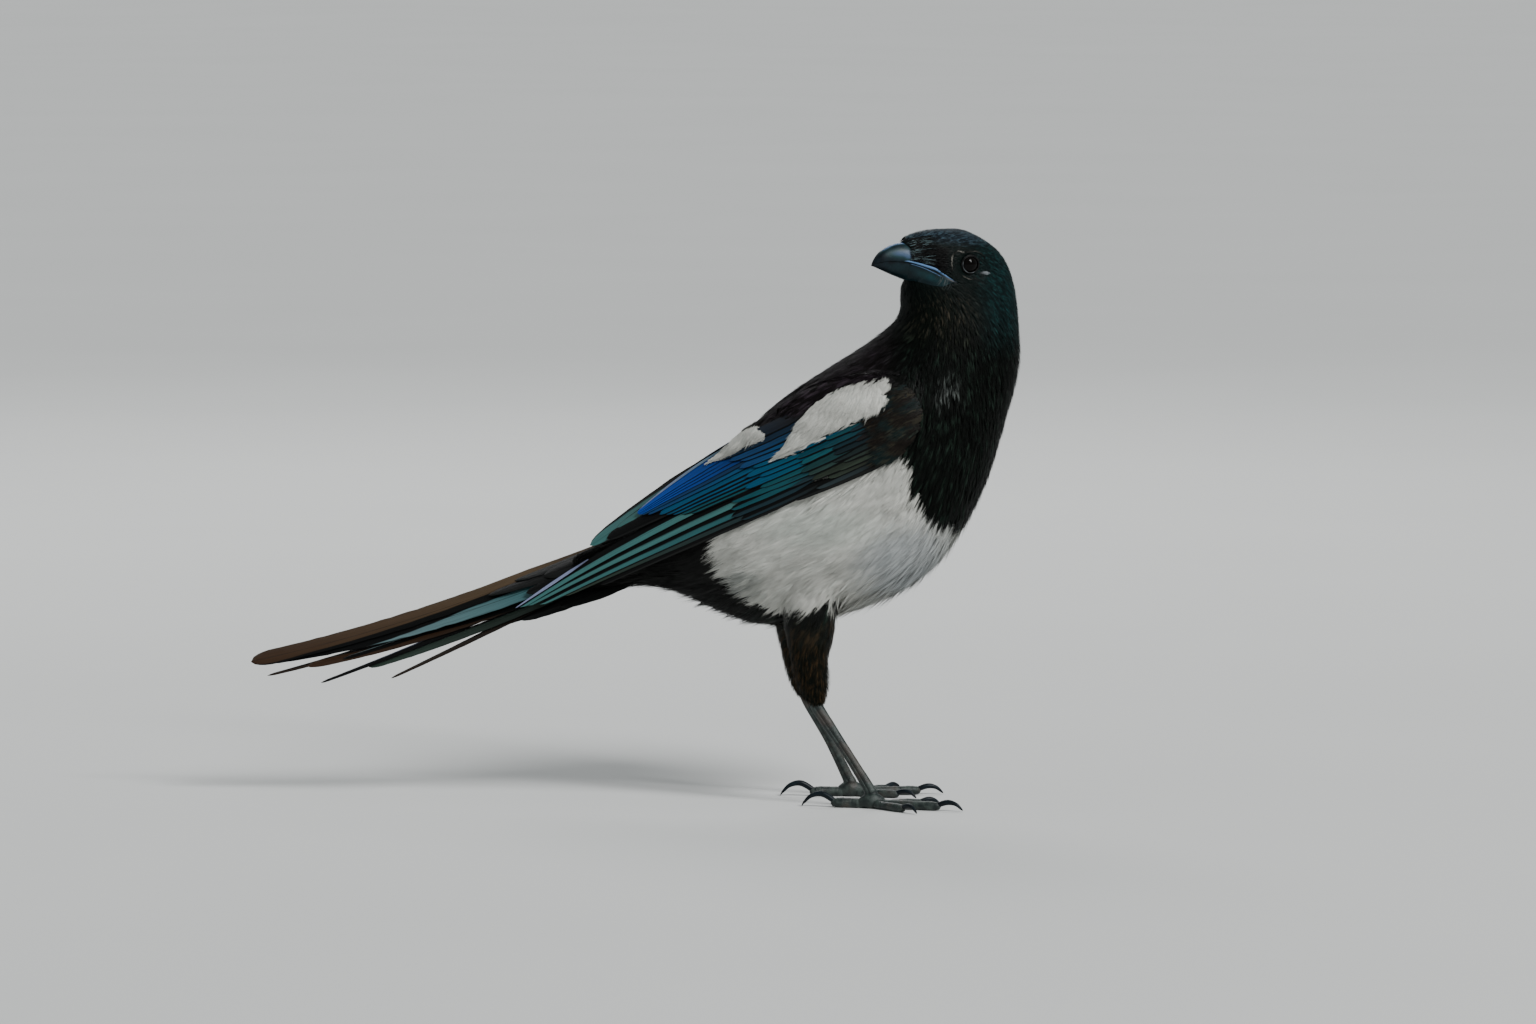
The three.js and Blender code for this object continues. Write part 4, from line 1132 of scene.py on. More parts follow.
# Feathers of the folded wing, the lowest first. Each has its root, its tip, half width, bow, colours at root
# and tip, shares of its width with them, how blunt its tip is, and how far its tier lies above the lowest.
# These colours start from the lower edge, or from the upper one where the row ends with it.
UPPER = True
WING_PLUMES = [
    [(46, -8.0), (162, -2.6), 2.2, 0.8, (SOOT, SOOT), (0.3, 0.3), 0.4, 0.0],
    [(46, -5.8), (180, 0.3), 2.3, 1.0, (DARK_TEAL, OLIVE), (0.5, 0.4), 0.4, 0.0],
    [(46, -2.8), (192, 1.5), 2.4, 1.4, (TEAL, GREY_TEAL), (0.56, 0.5), 0.4, 0.0],
    [(46, 1.3), (198, 3.4), 2.6, 2.2, (GREY_TEAL, GREY_TEAL), (0.56, 0.5), 0.4, 0.0],
    [(46, 6.5), (201, 3.8), 2.6, 3.4, (GREY_TEAL, GREY_TEAL), (0.60, 0.55), 0.4, 0.0],
    [(162, 8.6), (203, 4.0), 0.6, 0.0, (LILAC, LILAC), (1.0, 1.0), 0.2, 0.6],
    [(60, 11.5), (150, 13.2), 3.2, 0.5, (SOOT, SOOT), (0.2, 0.2), 0.6, 0.1],
    [(60, 24.0), (159, 14.2), 4.2, 1.5, (SLATE, GREY_TEAL), (0.75, 0.9), 0.5, -1.6],
    [(60, 21.0), (145, 14.5), 3.4, 1.2, (SOOT, GREY_TEAL), (0.6, 1.0), 0.5, -1.1],
    [(46, 4.6), (108, 6.9), 2.2, 0.6, (TEAL, TEAL), (0.76, 0.74), 0.5, 0.3, UPPER],
    [(47, 6.4), (112, 8.2), 2.2, 0.6, (TEAL_BLUE, TEAL), (0.76, 0.74), 0.5, 0.3, UPPER],
    [(48, 8.2), (116, 9.6), 2.2, 0.6, (TEAL_BLUE, TEAL_BLUE), (0.76, 0.74), 0.5, 0.3, UPPER],
    [(50, 10.2), (119, 10.8), 2.3, 0.6, (TEAL_BLUE, TEAL_BLUE), (0.76, 0.74), 0.5, 0.3, UPPER],
    [(50, 12.2), (122, 12.0), 2.4, 0.6, (TEAL_BLUE, TEAL_BLUE), (0.76, 0.74), 0.5, 0.3, UPPER],
    [(52, 14.6), (127, 13.9), 1.9, 0.3, (TEAL_BLUE, DEEP_BLUE), (0.88, 0.86), 0.3, 0.3, UPPER],
    [(52, 16.2), (130, 14.9), 1.9, 0.5, (NIGHT_BLUE, DEEP_BLUE), (0.88, 0.86), 0.3, 0.3, UPPER],
    [(52, 17.8), (131, 15.4), 1.9, 0.9, (NIGHT_BLUE, BLUE), (0.88, 0.86), 0.3, 0.25, UPPER],
    [(52, 19.5), (131.4, 15.8), 2.0, 1.3, (NIGHT_BLUE, BLUE), (0.88, 0.86), 0.3, 0.2, UPPER],
    [(52, 21.3), (131.5, 16.1), 2.2, 1.7, (NIGHT_BLUE, BLUE), (0.88, 0.86), 0.3, 0.15, UPPER],
    [(52, 23.4), (131.2, 16.4), 2.4, 2.0, (NIGHT_BLUE, BLUE), (0.88, 0.86), 0.2, 0.1, UPPER],
    [(80, 24.6), (129, 16.9), 0.5, 1.0, (PALE_BLUE, LILAC), (1.0, 1.0), 0.1, 0.1],
    [(44, -6.2), (88, -4.8), 1.8, 0.0, (SOOT, DARK_TEAL), (0.5, 0.5), 0.6, 0.9],
    [(48, -3.4), (91.3, -1.9), 1.8, 0.0, (DARK_TEAL, DARK_TEAL), (0.5, 0.6), 0.6, 0.9],
    [(50, -0.6), (90, 0.8), 1.8, 0.0, (TEAL, TEAL), (0.6, 0.6), 0.6, 0.9],
    [(52, 1.2), (88, 3.6), 1.9, 0.0, (TEAL, TEAL), (0.66, 0.6), 0.6, 0.9],
    [(20, -2.2), (62, -1.6), 2.0, 0.0, (SLATE, DARK_TEAL), (0.82, 0.80), 0.45, 1.2, UPPER],
    [(20, -0.2), (70, 1.0), 2.0, 0.0, (DARK_TEAL, TEAL), (0.82, 0.80), 0.45, 1.2, UPPER],
    [(20, 1.8), (73, 3.4), 2.1, 0.0, (TEAL, TEAL), (0.82, 0.80), 0.45, 1.2, UPPER],
    [(24, 4.2), (79.4, 5.8), 2.0, 0.0, (TEAL, TEAL_BLUE), (0.82, 0.80), 0.6, 1.2, UPPER],
    [(24, 6.4), (71, 7.4), 2.1, 0.0, (TEAL, TEAL_BLUE), (0.82, 0.80), 0.45, 1.3, UPPER],
    [(26, 8.4), (77, 9.6), 2.1, 0.0, (TEAL, TEAL_BLUE), (0.82, 0.80), 0.45, 1.3, UPPER],
    [(26, 10.6), (72, 11.8), 2.3, 0.0, (TEAL, TEAL_BLUE), (0.82, 0.80), 0.45, 1.3, UPPER],
    [(28, 12.8), (78, 14.0), 2.4, 0.0, (TEAL_BLUE, DEEP_BLUE), (0.82, 0.80), 0.45, 1.2, UPPER],
    [(30, 15.2), (76, 16.4), 2.5, 0.0, (TEAL_BLUE, DEEP_BLUE), (0.82, 0.80), 0.45, 1.1, UPPER],
    [(30, 17.6), (81, 18.4), 2.8, 0.0, (DARK_TEAL, DEEP_BLUE), (0.82, 0.80), 0.45, 1.0, UPPER],
    [(34, 20.0), (86, 20.8), 2.4, 0.0, (NIGHT_BLUE, NIGHT_BLUE), (0.84, 0.82), 0.4, 0.7, UPPER],
    [(36, 22.8), (84, 23.4), 2.6, 0.0, (BROWN_BLACK, NIGHT_BLUE), (0.84, 0.82), 0.4, 0.5, UPPER],
    [(8, -11.0), (62, -7.8), 2.2, 0.0, (SOOT, SOOT), (0.5, 0.5), 0.5, 1.5],
    [(8, -8.5), (50, -7.5), 2.2, 0.0, (SOOT, SLATE), (0.5, 0.6), 0.6, 1.6],
    [(8, -6.0), (43, -5.6), 2.2, 0.0, (BROWN_BLACK, OLIVE), (0.8, 0.9), 0.7, 1.7],
]
# Rows of the lesser coverts: how many, their roots and tips from the first (lowest) to the last, half width,
# colours of the lowest, middle and highest, and how far they lie above the lowest feathers.
COVERT_ROWS = [
    [7, (22, -4.0), (20, 13.5), (51, -3.6), (54, 12.0), 1.9, (OLIVE, TEAL, TEAL_BLUE), 1.8],
    [8, (10, -5.0), (8, 11.5), (35, -5.0), (38, 10.6), 1.8, (OLIVE, DARK_TEAL, TEAL), 2.0],
    [8, (-2, -6.0), (-4, 10.0), (21, -6.0), (23, 9.4), 1.8, (OLIVE, BROWN_BLACK, DARK_TEAL), 2.2],
]
# Small soft feathers at the wing's bend: the corners of their patch in p and q.
BEND_PATCH = [(-9, 3), (-6, -4), (5, -10.5), (18, -11), (14, -5), (10, 2), (12, 9), (0, 12), (-8, 14)]
BEND_TUFTS = 460
BEND_GREEN = (0.006, 0.014, 0.014)
BEND_SPECK = (0.036, 0.033, 0.022)


def make_wing(name, side, material, soft):
    """Flight feathers and coverts of one wing in one piece, and the small feathers at its bend in another."""
    shape, sheet, surface = Shape(), Sheet(9, 8), wing_surface(side)
    jitter = np.random.default_rng(SEED + side)
    for root, tip, half, bow, tint, span, blunt, above, *from_upper in WING_PLUMES:
        edge = (root[1] + tip[1]) / 2 + bow * 0.66 - half
        add_plume(shape, sheet, surface, root, tip, half, tier_lift(above, edge), tint, span, jitter, bow=bow,
                  blunt=blunt, steps=26 if tip[0] > 100 else 14, flip=bool(from_upper))
    for count, first_root, last_root, first_tip, last_tip, half, tints, above in COVERT_ROWS:
        for f in np.linspace(0, 1, count):
            root = mix(np.array(first_root, float), np.array(last_root, float), f) + jitter.uniform(-1, 1, 2)
            tip = mix(np.array(first_tip, float), np.array(last_tip, float), f)
            tip = tip + jitter.uniform(-1, 1, 2) * [2.2, 0.3]
            edge = (root[1] + tip[1]) / 2 - half
            shade = through(np.array(tints), 2 * f) * jitter.uniform(0.6, 1.2)
            add_plume(shape, sheet, surface, root, tip, half, tier_lift(above, edge), (shade * 0.8, shade),
                      (0.84, 0.78), jitter, shaft=0.0, steps=12, flip=True)
    finish_piece(shape.build(f"wing_feathers_{name}", sharp=50), material, [f"wing_{name}"])
    bend = Shape()
    root = patch_roots(BEND_PATCH, BEND_TUFTS, jitter)
    count = len(root)
    way = unit(np.array([1.0, 0.02]) + jitter.normal(0, 0.1, root.shape)) * jitter.uniform(8, 12, (count, 1))
    spines, outward = patch_spines(surface, root, root + way, 2.9 + 0.085 * (root[:, 1] - WING_EDGE))
    chance = jitter.random(count)
    colour = blend(np.array(BROWN_BLACK), BEND_GREEN, step_up(0.35, 0.8, ripple(spines[:, 1], 2.6)))
    colour = blend(colour, BEND_SPECK, step_up(0.6, 1, chance) * 0.6)
    add_tufts(bend, spines, outward, jitter.uniform(2.0, 2.7, count), jitter.uniform(0.4, 0.8, count),
              colour, patch_places(root), TUFTS["shoulders"], jitter)
    finish_piece(bend.build(f"wing_bend_{name}"), soft)


# Outlines on the wing, in p and q, of the white shoulder patch and of the white streak behind it.
SHOULDER_PATCH = [
    (-1.2, 21.2), (-1.6, 11.2), (1.8, 9.4), (12.3, 7.7), (18.3, 8.1), (25.7, 8.3), (30.8, 8), (38.3, 8.2),
    (48.2, 8.9), (61.1, 10.8), (55.5, 13.3), (49.9, 15.9), (42.6, 20.4), (30.3, 24.1), (19.2, 26),
    (9.6, 24.4),
]
STREAK_PATCH = [
    (60.5, 19.0), (66, 20.9), (81.4, 20.4), (91, 22.0), (80.6, 24.3), (70.5, 28.0), (63.5, 27.6),
    (58.0, 22.5),
]
# How each is filled: outline, tufts, the ways they lie at its front and at its rear, the q under which they
# run along its lower edge, their length, and the height of the mound.
WHITE_PATCHES = [
    (SHOULDER_PATCH, 1700, (0.66, -0.75), (0.95, -0.31), 15.5, 13, 3.5),
    (STREAK_PATCH, 450, (0.76, -0.65), (0.94, -0.34), 25.0, 11, 3.0),
]
TURNING = 32  # millimetres of p over which the way at the front turns into that at the rear
ALONG_EDGE = (1.0, 0.06)  # the way along the lower edge


def patch_roots(outline, count, jitter):
    """Random places of p and q inside an outline."""
    low, high = np.min(outline, 0), np.max(outline, 0)
    spots = jitter.uniform(low, high, (count * 3, 2))
    return spots[inside(outline, *spots.T)][:count]


def patch_spines(surface, root, tip, height):
    """Spines and ways out of tufts that lie on the wing from root to tip at a height."""

    def spot(share, out):
        at = mix(root, tip, share)
        return surface(at[:, 0], at[:, 1], out)

    spines = np.stack([spot(0, height - 0.9), spot(0.5, height), spot(1, height - 0.1)], 1)
    outward = np.stack([spot(s, height + 1) - spot(s, height) for s in (0, 0.5, 1)], 1)
    return spines, unit(outward)


def patch_places(root):
    """The place of each tuft of the wing on its piece's map."""
    corner, size = np.array([-12, -14]), np.array([105, 46])
    return mix(0.05, 0.95, (root - corner) / size)


def add_white_patch(shape, surface, jitter, outline, count, front_way, rear_way, low, length, height):
    """Soft white tufts that keep to an outline, but for their frayed ends, painted with soft bands of shade.
    """
    root = patch_roots(outline, count, jitter)
    count = len(root)
    p, q = root.T
    way = mix(np.array(front_way), np.array(rear_way), step_up(p.min(), p.min() + TURNING, p)[:, None])
    way = mix(way, np.array(ALONG_EDGE), step_up(low, low - 6, q)[:, None])
    way = unit(way + jitter.normal(0, 0.06, root.shape))
    reach = length * jitter.uniform(0.7, 1.1, count)
    fray = jitter.uniform(0.2, 1.6, count) + 3.6 * (jitter.random(count) > 0.86)
    for _ in range(4):
        end = root + way * (reach - fray)[:, None]
        reach = np.where(inside(outline, *end.T), reach, reach * 0.72)
    tip = root + way * reach[:, None]
    edge = np.min([np.linalg.norm(root - spot, axis=1) for spot in closed_curve(outline, 90)], axis=0)
    mound = height - 1.3 + 1.5 * step_up(0, 5, edge)
    spines, outward = patch_spines(surface, root, tip, mound + 0.075 * (q - WING_EDGE))
    chance = jitter.random(count)
    colour = blend(np.asarray(SHADED_WHITE), WHITE, step_up(-0.3, 0.6, chance))
    # Painted shade: soft bands across the white patch
    shade_bands = ripple(np.stack([p * 0.25 + q * 0.3, 0 * edge, q - 0.6 * p], -1), 2.2)
    colour = colour * mix(0.70, 1.06, shade_bands)[:, None]
    half = jitter.uniform(1.1, 1.6, count) * np.minimum(1, reach / 8)
    add_tufts(shape, spines, outward, half, jitter.uniform(0.3, 0.6, count), colour, patch_places(root),
              WHITE_TUFT, jitter)


def make_scapulars(name, side, material):
    """The white shoulder patch, which closes to a point, and the streak behind it."""
    jitter = np.random.default_rng(SEED + 3 * side)
    shape, surface = Shape(), wing_surface(side)
    for patch in WHITE_PATCHES:
        add_white_patch(shape, surface, jitter, *patch)
    finish_piece(shape.build(f"scapulars_{name}_coat"), material, [f"scapulars_{name}"])


BRONZE = (0.075, 0.050, 0.026)
DARK_BRONZE = (0.030, 0.014, 0.006)
TAIL_TEAL = (0.008, 0.080, 0.088)
PALE_TEAL = (0.130, 0.180, 0.190)
GREY_GREEN = (0.020, 0.034, 0.026)
TAIL_BROWN = (0.016, 0.010, 0.006)

# Tail feathers, the lowest first: root, tip (back along the tail and across it to the left), half width, bow,
# how far below the middle pair, colours, shares of the width with them, and bluntness. These colours start
# from the lower edge, or from the upper one where the row ends with it.
TAIL_PLUMES = [
    [(10, -1.3), (130, -22.3), 1.9, 2.5, 5.6, (SOOT, TAIL_BROWN), (0.5, 0.9), 0.35],
    [(10, 5.0), (97, 10.5), 4.5, 0.5, 5.0, (SOOT, SOOT), (0.3, 0.3), 0.6],
    [(8, -3.5), (139, -12.1), 3.0, 0.5, 4.6, (SOOT, GREY_GREEN), (0.6, 0.9), 0.7],
    [(10, 5.0), (122, 10.0), 4.5, 0.5, 4.0, (SOOT, SOOT), (0.3, 0.3), 0.6],
    [(8, 1.4), (162, -16.1), 2.0, 3.5, 3.7, (LILAC, SOOT), (0.26, 0.1), 0.35, UPPER],
    [(8, 3.8), (186, -4.7), 2.4, 2.0, 3.3, (SOOT, TAIL_BROWN), (0.4, 0.7), 0.3],
    [(10, -0.4), (167, -3.9), 4.2, 0.0, 3.0, (SOOT, DARK_BRONZE), (-0.6, 1.0), 0.5],
    [(8, 3.3), (150, -4.7), 2.2, 1.0, 2.8, (TAIL_TEAL, PALE_TEAL), (1.0, 0.0), 0.4, UPPER],
    [(10, 4.0), (172, 7.0), 5.0, 0.5, 2.0, (SOOT, DARK_BRONZE), (0.3, 0.3), 0.6],
    [(8, 0.0), (188, 3.5), 5.5, 0.0, 0.8, (TAIL_TEAL, PALE_TEAL), (1.65, -0.7), 0.6],
    [(8, 8.5), (192, 3.5), 5.2, 1.5, 0.0, (BRONZE, DARK_BRONZE), (0.34, 0.9), 0.95, UPPER],
]
# Black coverts over and under the tail's base, in the same terms.
TAIL_COVERTS = [
    [(-14, 0.0), (48, 3.0), 7.0, 0.0, -2.4, 0.6],
    [(-10, 5.0), (62, 9.0), 5.0, 0.5, -2.1, 0.5],
    [(-6, -5.0), (58, -3.0), 5.0, 0.0, -1.9, 0.5],
    [(-4, 2.0), (76, 5.0), 5.0, 0.3, -1.6, 0.4],
    [(-12, -9.0), (46, -11.0), 4.0, -1.0, 4.5, 0.4],
    [(-12, -7.0), (66, -9.5), 4.0, -1.0, 5.0, 0.4],
    [(-12, -4.0), (84, -6.5), 4.5, -1.0, 5.4, 0.4],
]


def tail_lift(below, curl=0.0):
    """The height across the tail of a feather that lies below the middle pair."""
    return lambda along, across: -below - curl * across**2


def make_tail(material):
    shape, sheet = Shape(), Sheet(5, 4)
    jitter = np.random.default_rng(SEED + 11)
    for root, tip, half, bow, below, tint, span, blunt, *from_upper in TAIL_PLUMES:
        add_plume(shape, sheet, tail_surface, root, tip, half, tail_lift(below), tint, span, jitter,
                  shaft=-0.1, bow=bow, blunt=blunt, thick=0.4, steps=44, lanes=10, wave=0.02,
                  flip=bool(from_upper))
    for root, tip, half, bow, below, blunt in TAIL_COVERTS:
        add_plume(shape, sheet, tail_surface, root, tip, half, tail_lift(below, 0.02), (SOOT, SOOT),
                  (0.4, 0.4), jitter, shaft=0.0, bow=bow, blunt=blunt, steps=20, wave=0.03)
    finish_piece(shape.build("tail_feathers_all", sharp=50), material, ["tail"])


# Head furniture

def head_side(forward, up):
    """How far out the face's or the bill's side lies at a place forward and up in the head's frame."""
    best = np.zeros(np.broadcast(forward, up).shape)
    for rows in (FACE, BILL):
        top, bottom, half = [graph(rows[:, [0, k]], forward) for k in (1, 2, 3)]
        share = (up - (top + bottom) / 2) / ((top - bottom) / 2)
        reach = half * np.sqrt(np.clip(1 - share**2, 0, 1))
        on = (forward >= rows[0, 0]) & (forward <= rows[-1, 0])
        best = np.maximum(best, np.where(on, reach, 0))
    return best


def face_finder(side, skin_side):
    """A function that gives places on one side of the face and bill, out from it by a distance."""
    sunk = 0.2

    def on_face(forward, up, out):
        base = np.maximum(head_side(forward, up), skin_side(forward, side, up) - sunk)
        return head_points(forward, side * (base + out), up)

    return on_face


def make_bill(material):
    """Upper and lower halves of the bill, each closed, meeting on the line of the mouth."""
    around, steps = 56, 64
    angle = circle(around)
    forward, top, bottom, half = through(BILL, np.linspace(0, len(BILL) - 1, steps)).T[:, :, None]
    parting = graph(MOUTH, forward)
    side = half * np.sign(np.sin(angle)) * np.abs(np.sin(angle)) ** 0.92
    up = (top + bottom) / 2 + (top - bottom) / 2 * np.cos(angle)

    def upper_lustre(points):
        """Painted highlights along the crest and, broader, along the side, and a faint tint at the base."""
        ahead, _, high = into_head(points).T
        crest = graph(BILL[:, [0, 1]], ahead) - high
        above = high - graph(MOUTH, ahead)
        tint_and_sheen = 0.75 * np.exp(-(crest / 0.45) ** 2) * step_up(45, 38, ahead)
        tint_and_sheen = tint_and_sheen + 0.34 * np.exp(-((above - 3.8) / 1.9) ** 2) * step_up(44, 34, ahead)
        tint_and_sheen = tint_and_sheen + 0.10 * step_up(26, 31, ahead) * step_up(34, 31, ahead)
        return {"Glow": np.clip(tint_and_sheen, 0, 1)}

    def lower_lustre(points):
        ahead, _, high = into_head(points).T
        return {"Glow": 0.05 * step_up(42, 36, ahead) * step_up(0.4, 1.4, graph(MOUTH, ahead) - high)}

    for name, height, wide, lustre in (
        ("bill_upper", np.maximum(up, parting + 0.1), 1.03, upper_lustre),
        ("bill_lower", np.minimum(up, parting - 0.1), 0.95, lower_lustre),
    ):
        shape = Shape()
        add_loft(shape, head_points(forward + 0 * side, side * wide, height), lustre)
        finish_piece(shape.build(name + "_horn", sharp=60), material, [name])


# Ridges along the mouth, upper and lower, painted pale as highlights: path of forward and up, radius at each
# place, and the strength of that painted highlight.
RIDGES = [
    ([[33, 0.1], [30, 0.2], [25.4, -0.6], [21.1, -1.6], [18.4, -2.4], [15.5, -4.1], [12.5, -5.9], [9, -7.4]],
     [0.15, 0.34, 0.50, 0.58, 0.55, 0.40, 0.25, 0.10], 1.3),
    ([[29.5, -0.9], [26.5, -1.5], [23, -2.5], [19.5, -3.8], [16.5, -5.3], [13.5, -6.8]],
     [0.10, 0.22, 0.27, 0.30, 0.28, 0.10], 0.55),
]


def make_gape(name, on_face, material):
    """The bare base of the lower bill on the face, with ridges that run to the mouth's corner, painted pale
    as highlights.
    """
    shape = Shape()
    forward = np.linspace(8.0, 31.5, 46)[:, None]
    share = np.linspace(0, 1, 12)
    up = mix(graph(MOUTH, forward) - 0.15, graph(GAPE_EDGE, forward), share)
    bulge = 0.3 + 0.3 * np.sin(np.pi * share) * step_up(6, 16, forward) - 1.1 * step_up(27.5, 31.5, forward)
    ahead = forward + 0 * share
    outer, inner = on_face(ahead, up, bulge), on_face(ahead, up, -1.2)

    def lustre(points):
        place, _, high = into_head(points).T
        below = graph(MOUTH, place) - high
        band = step_up(1.6, 3.0, below) * step_up(6.5, 4, below) * step_up(29, 22, place)
        return {"Glow": 0.05 * step_up(0.4, 1.4, below) + 0.10 * band}

    add_loft(shape, np.concatenate([outer, inner[:, ::-1]], 1), lustre)
    for path, thick, strength in RIDGES:
        t = np.linspace(0, len(path) - 1, 40)
        ridge = on_face(*through(path, t).T, 0.2)
        radius = np.interp(t, np.arange(len(path)), thick)
        tube = limb_rings(np.concatenate([ridge, radius[:, None]], 1), 80, 10)

        # The ridges are painted pale blue as highlights.
        def ridge_lustre(points):
            place = into_head(points)[:, 0]
            return {"Glow": strength * step_up(8, 17, place) * step_up(33.5, 30, place)}

        add_loft(shape, tube, ridge_lustre)
    finish_piece(shape.build(f"gape_{name}", sharp=60), material)


def add_bristles(shape, roots, middles, tips, outward, wide, colour, jitter):
    """Adds closed pointed strands that bend at their middles."""
    count, each = len(roots), 7
    across = unit(np.cross(unit(tips - roots), outward))
    rows = []
    for place, share in ((roots, 1.0), (middles, 0.75)):
        for offset, depth in ((-1, 0.0), (1, 0.0), (0, -0.8)):
            rows.append(place + (across * offset + outward * depth) * (wide * share)[:, None])
    rows.append(tips)
    shape.add(np.stack(rows, 1), many_faces(strand_faces(True), count, each), {
        "Coat": np.repeat(colour, each, 0),
        "Chance": np.repeat(jitter.random(count), each),
        "Along": np.tile([0, 0, 0, 0.5, 0.5, 0.5, 1.0], count),
    })
    lean = np.array([-0.6, 0.6, 0.0, -0.6, 0.6, 0.0, 0.0])[:, None]
    shading = unit(outward[:, None] + across[:, None] * lean)
    shading[:, [2, 5]] *= -1
    shape.shading.append(shading.reshape(-1, 3))


NASAL_BRISTLES = 420
MOUTH_BRISTLES = 16
BRISTLE_HIGHLIGHT = (0.10, 0.15, 0.16)
MOUTH_BRISTLE = (0.09, 0.11, 0.11)
EYE_BRISTLE = (0.26, 0.25, 0.22)
CHEEK = 13.0  # how far out the face lies round the eye, roughly
# Arcs of small pale feathers round the eye, in forward and up, with how many there are and how bright.
EYE_ARCS = [
    ([(11.4, -3.0), (12.0, 1.5), (11.8, 4.7), (9.5, 7.2), (6.2, 6.6)], 130, 1.0),
    ([(9.0, -3.6), (5.6, -5.4), (2.0, -6.2), (-1.2, -5.9)], 80, 0.9),
    ([(6.2, 6.6), (1.5, 7.8), (-3.0, 7.0), (-5.2, 3.6)], 40, 0.3),
]


def make_bristles(name, side, nearest, on_face, material):
    """Bristles over the nostril, some painted pale as highlights, bristles at the mouth's corner, and the
    small pale feathers round the eye.
    """
    jitter = np.random.default_rng(SEED + 5 * side)
    shape = Shape()

    def out_of_face(forward, up):
        return unit(on_face(forward, up, 2.0) - on_face(forward, up, 0.0) + 1e-6)

    count = NASAL_BRISTLES
    forward = 17.5 + 11.0 * jitter.beta(1.7, 1.3, count)
    share = jitter.uniform(0.03, 0.9, count)
    up = mix(graph(MOUTH, forward) + 1.2, graph(FACE[:, [0, 1]], forward) - 1.0, share)
    limit = 30.2 + 2.0 * step_up(8, 10.5, up) + jitter.normal(0, 0.35, count)
    ends = np.minimum(forward + jitter.uniform(4.5, 7.5, count), limit)
    reach = ends - forward
    fall = jitter.normal(0, 0.12, count) + mix(0.0, -0.42, share)
    high = np.maximum(up + fall * reach, graph(MOUTH, ends) + 1.0)
    bend = 0.12 * reach * mix(0.4, 1, share)
    lines = [on_face(forward, up, 0.0), on_face(mix(forward, ends, 0.5), mix(up, high, 0.5) + bend, 0.8),
             on_face(ends, high, 0.4)]
    # Some nasal bristles are painted pale as highlights; the rest keep the lores' black, which is painted
    # darker as shade.
    pale = step_up(0.76, 0.97, jitter.random(count))
    colour = blend(np.array(BLACK_LORES), BRISTLE_HIGHLIGHT, pale * 0.8)
    wide = jitter.uniform(0.08, 0.15, count)
    add_bristles(shape, *lines, out_of_face(forward, up), wide, colour, jitter)

    count = MOUTH_BRISTLES
    forward = jitter.uniform(11.5, 18.0, count)
    up = graph(MOUTH, forward) - jitter.uniform(0.4, 2.8, count)
    reach = jitter.uniform(2.2, 4.2, count)
    lines = [on_face(forward + ahead * reach, up - down * reach, out)
             for ahead, down, out in ((0, 0, 0.5), (0.16, 0.5, 1.0), (0.45, 1, 0.9))]
    colour = np.array(MOUTH_BRISTLE) * jitter.uniform(0.3, 1.2, (count, 1))
    add_bristles(shape, *lines, out_of_face(forward, up), np.full(count, 0.11), colour, jitter)

    for arc, count, bright in EYE_ARCS:
        last = len(arc) - 1
        t = np.sort(jitter.uniform(0, last - 0.3, count))
        spread = jitter.normal(0, 0.2, (count, 2))
        lines, outward = [], None
        for step, out in ((0, 0.2), (0.16, 0.6), (0.36, 0.45)):
            forward, up = (through(arc, np.clip(t + step, 0, last)) + spread).T
            spot, normal = nearest(head_points(forward, side * CHEEK, up))
            outward = normal if outward is None else outward
            lines.append(spot + normal * out)
        tone = (0.5 + 0.5 * np.sin(t * 2.6 - 1.4)) * jitter.uniform(0.2, 1.0, count) * bright
        add_bristles(shape, *lines, outward, np.full(count, 0.08), tone[:, None] * [EYE_BRISTLE], jitter)
    finish_piece(shape.build(f"face_bristles_{name}"), material)


RING_STEPS = 48
RING_SQUASH = 0.95


def add_ring(shape, centre, along, axes, radius, thick, raised, pale):
    """Adds a closed ring round an axis.

    Thick, raised and pale hold a value for each step round it: the radius of its tube, how far it lies along
    the axis, and how pale it is."""
    around = 12
    angle, turn = circle(RING_STEPS), circle(around)
    out = np.cos(angle)[:, None] * axes[0] + RING_SQUASH * np.sin(angle)[:, None] * axes[1]
    ring = centre + radius * out + raised[:, None] * along
    tube = np.cos(turn)[None, :, None] * out[:, None] + np.sin(turn)[None, :, None] * along
    points = ring[:, None] + thick[:, None, None] * tube
    i, j = np.meshgrid(np.arange(RING_STEPS), np.arange(around), indexing="ij")
    next_i, next_j = (i + 1) % RING_STEPS, (j + 1) % around
    corners = [next_i * around + j, next_i * around + next_j, i * around + next_j, i * around + j]
    shape.add(points, np.stack(corners, -1).reshape(-1, 4), {"Pale": np.repeat(pale, around)})


def add_ball(shape, centre, radius):
    angle, turn = np.linspace(0.02, np.pi - 0.02, 48)[:, None], circle(64)
    rings = [np.sin(angle) * np.cos(turn), np.sin(angle) * np.sin(turn), np.cos(angle) + 0 * turn]
    add_loft(shape, centre + radius * np.stack(rings, -1))


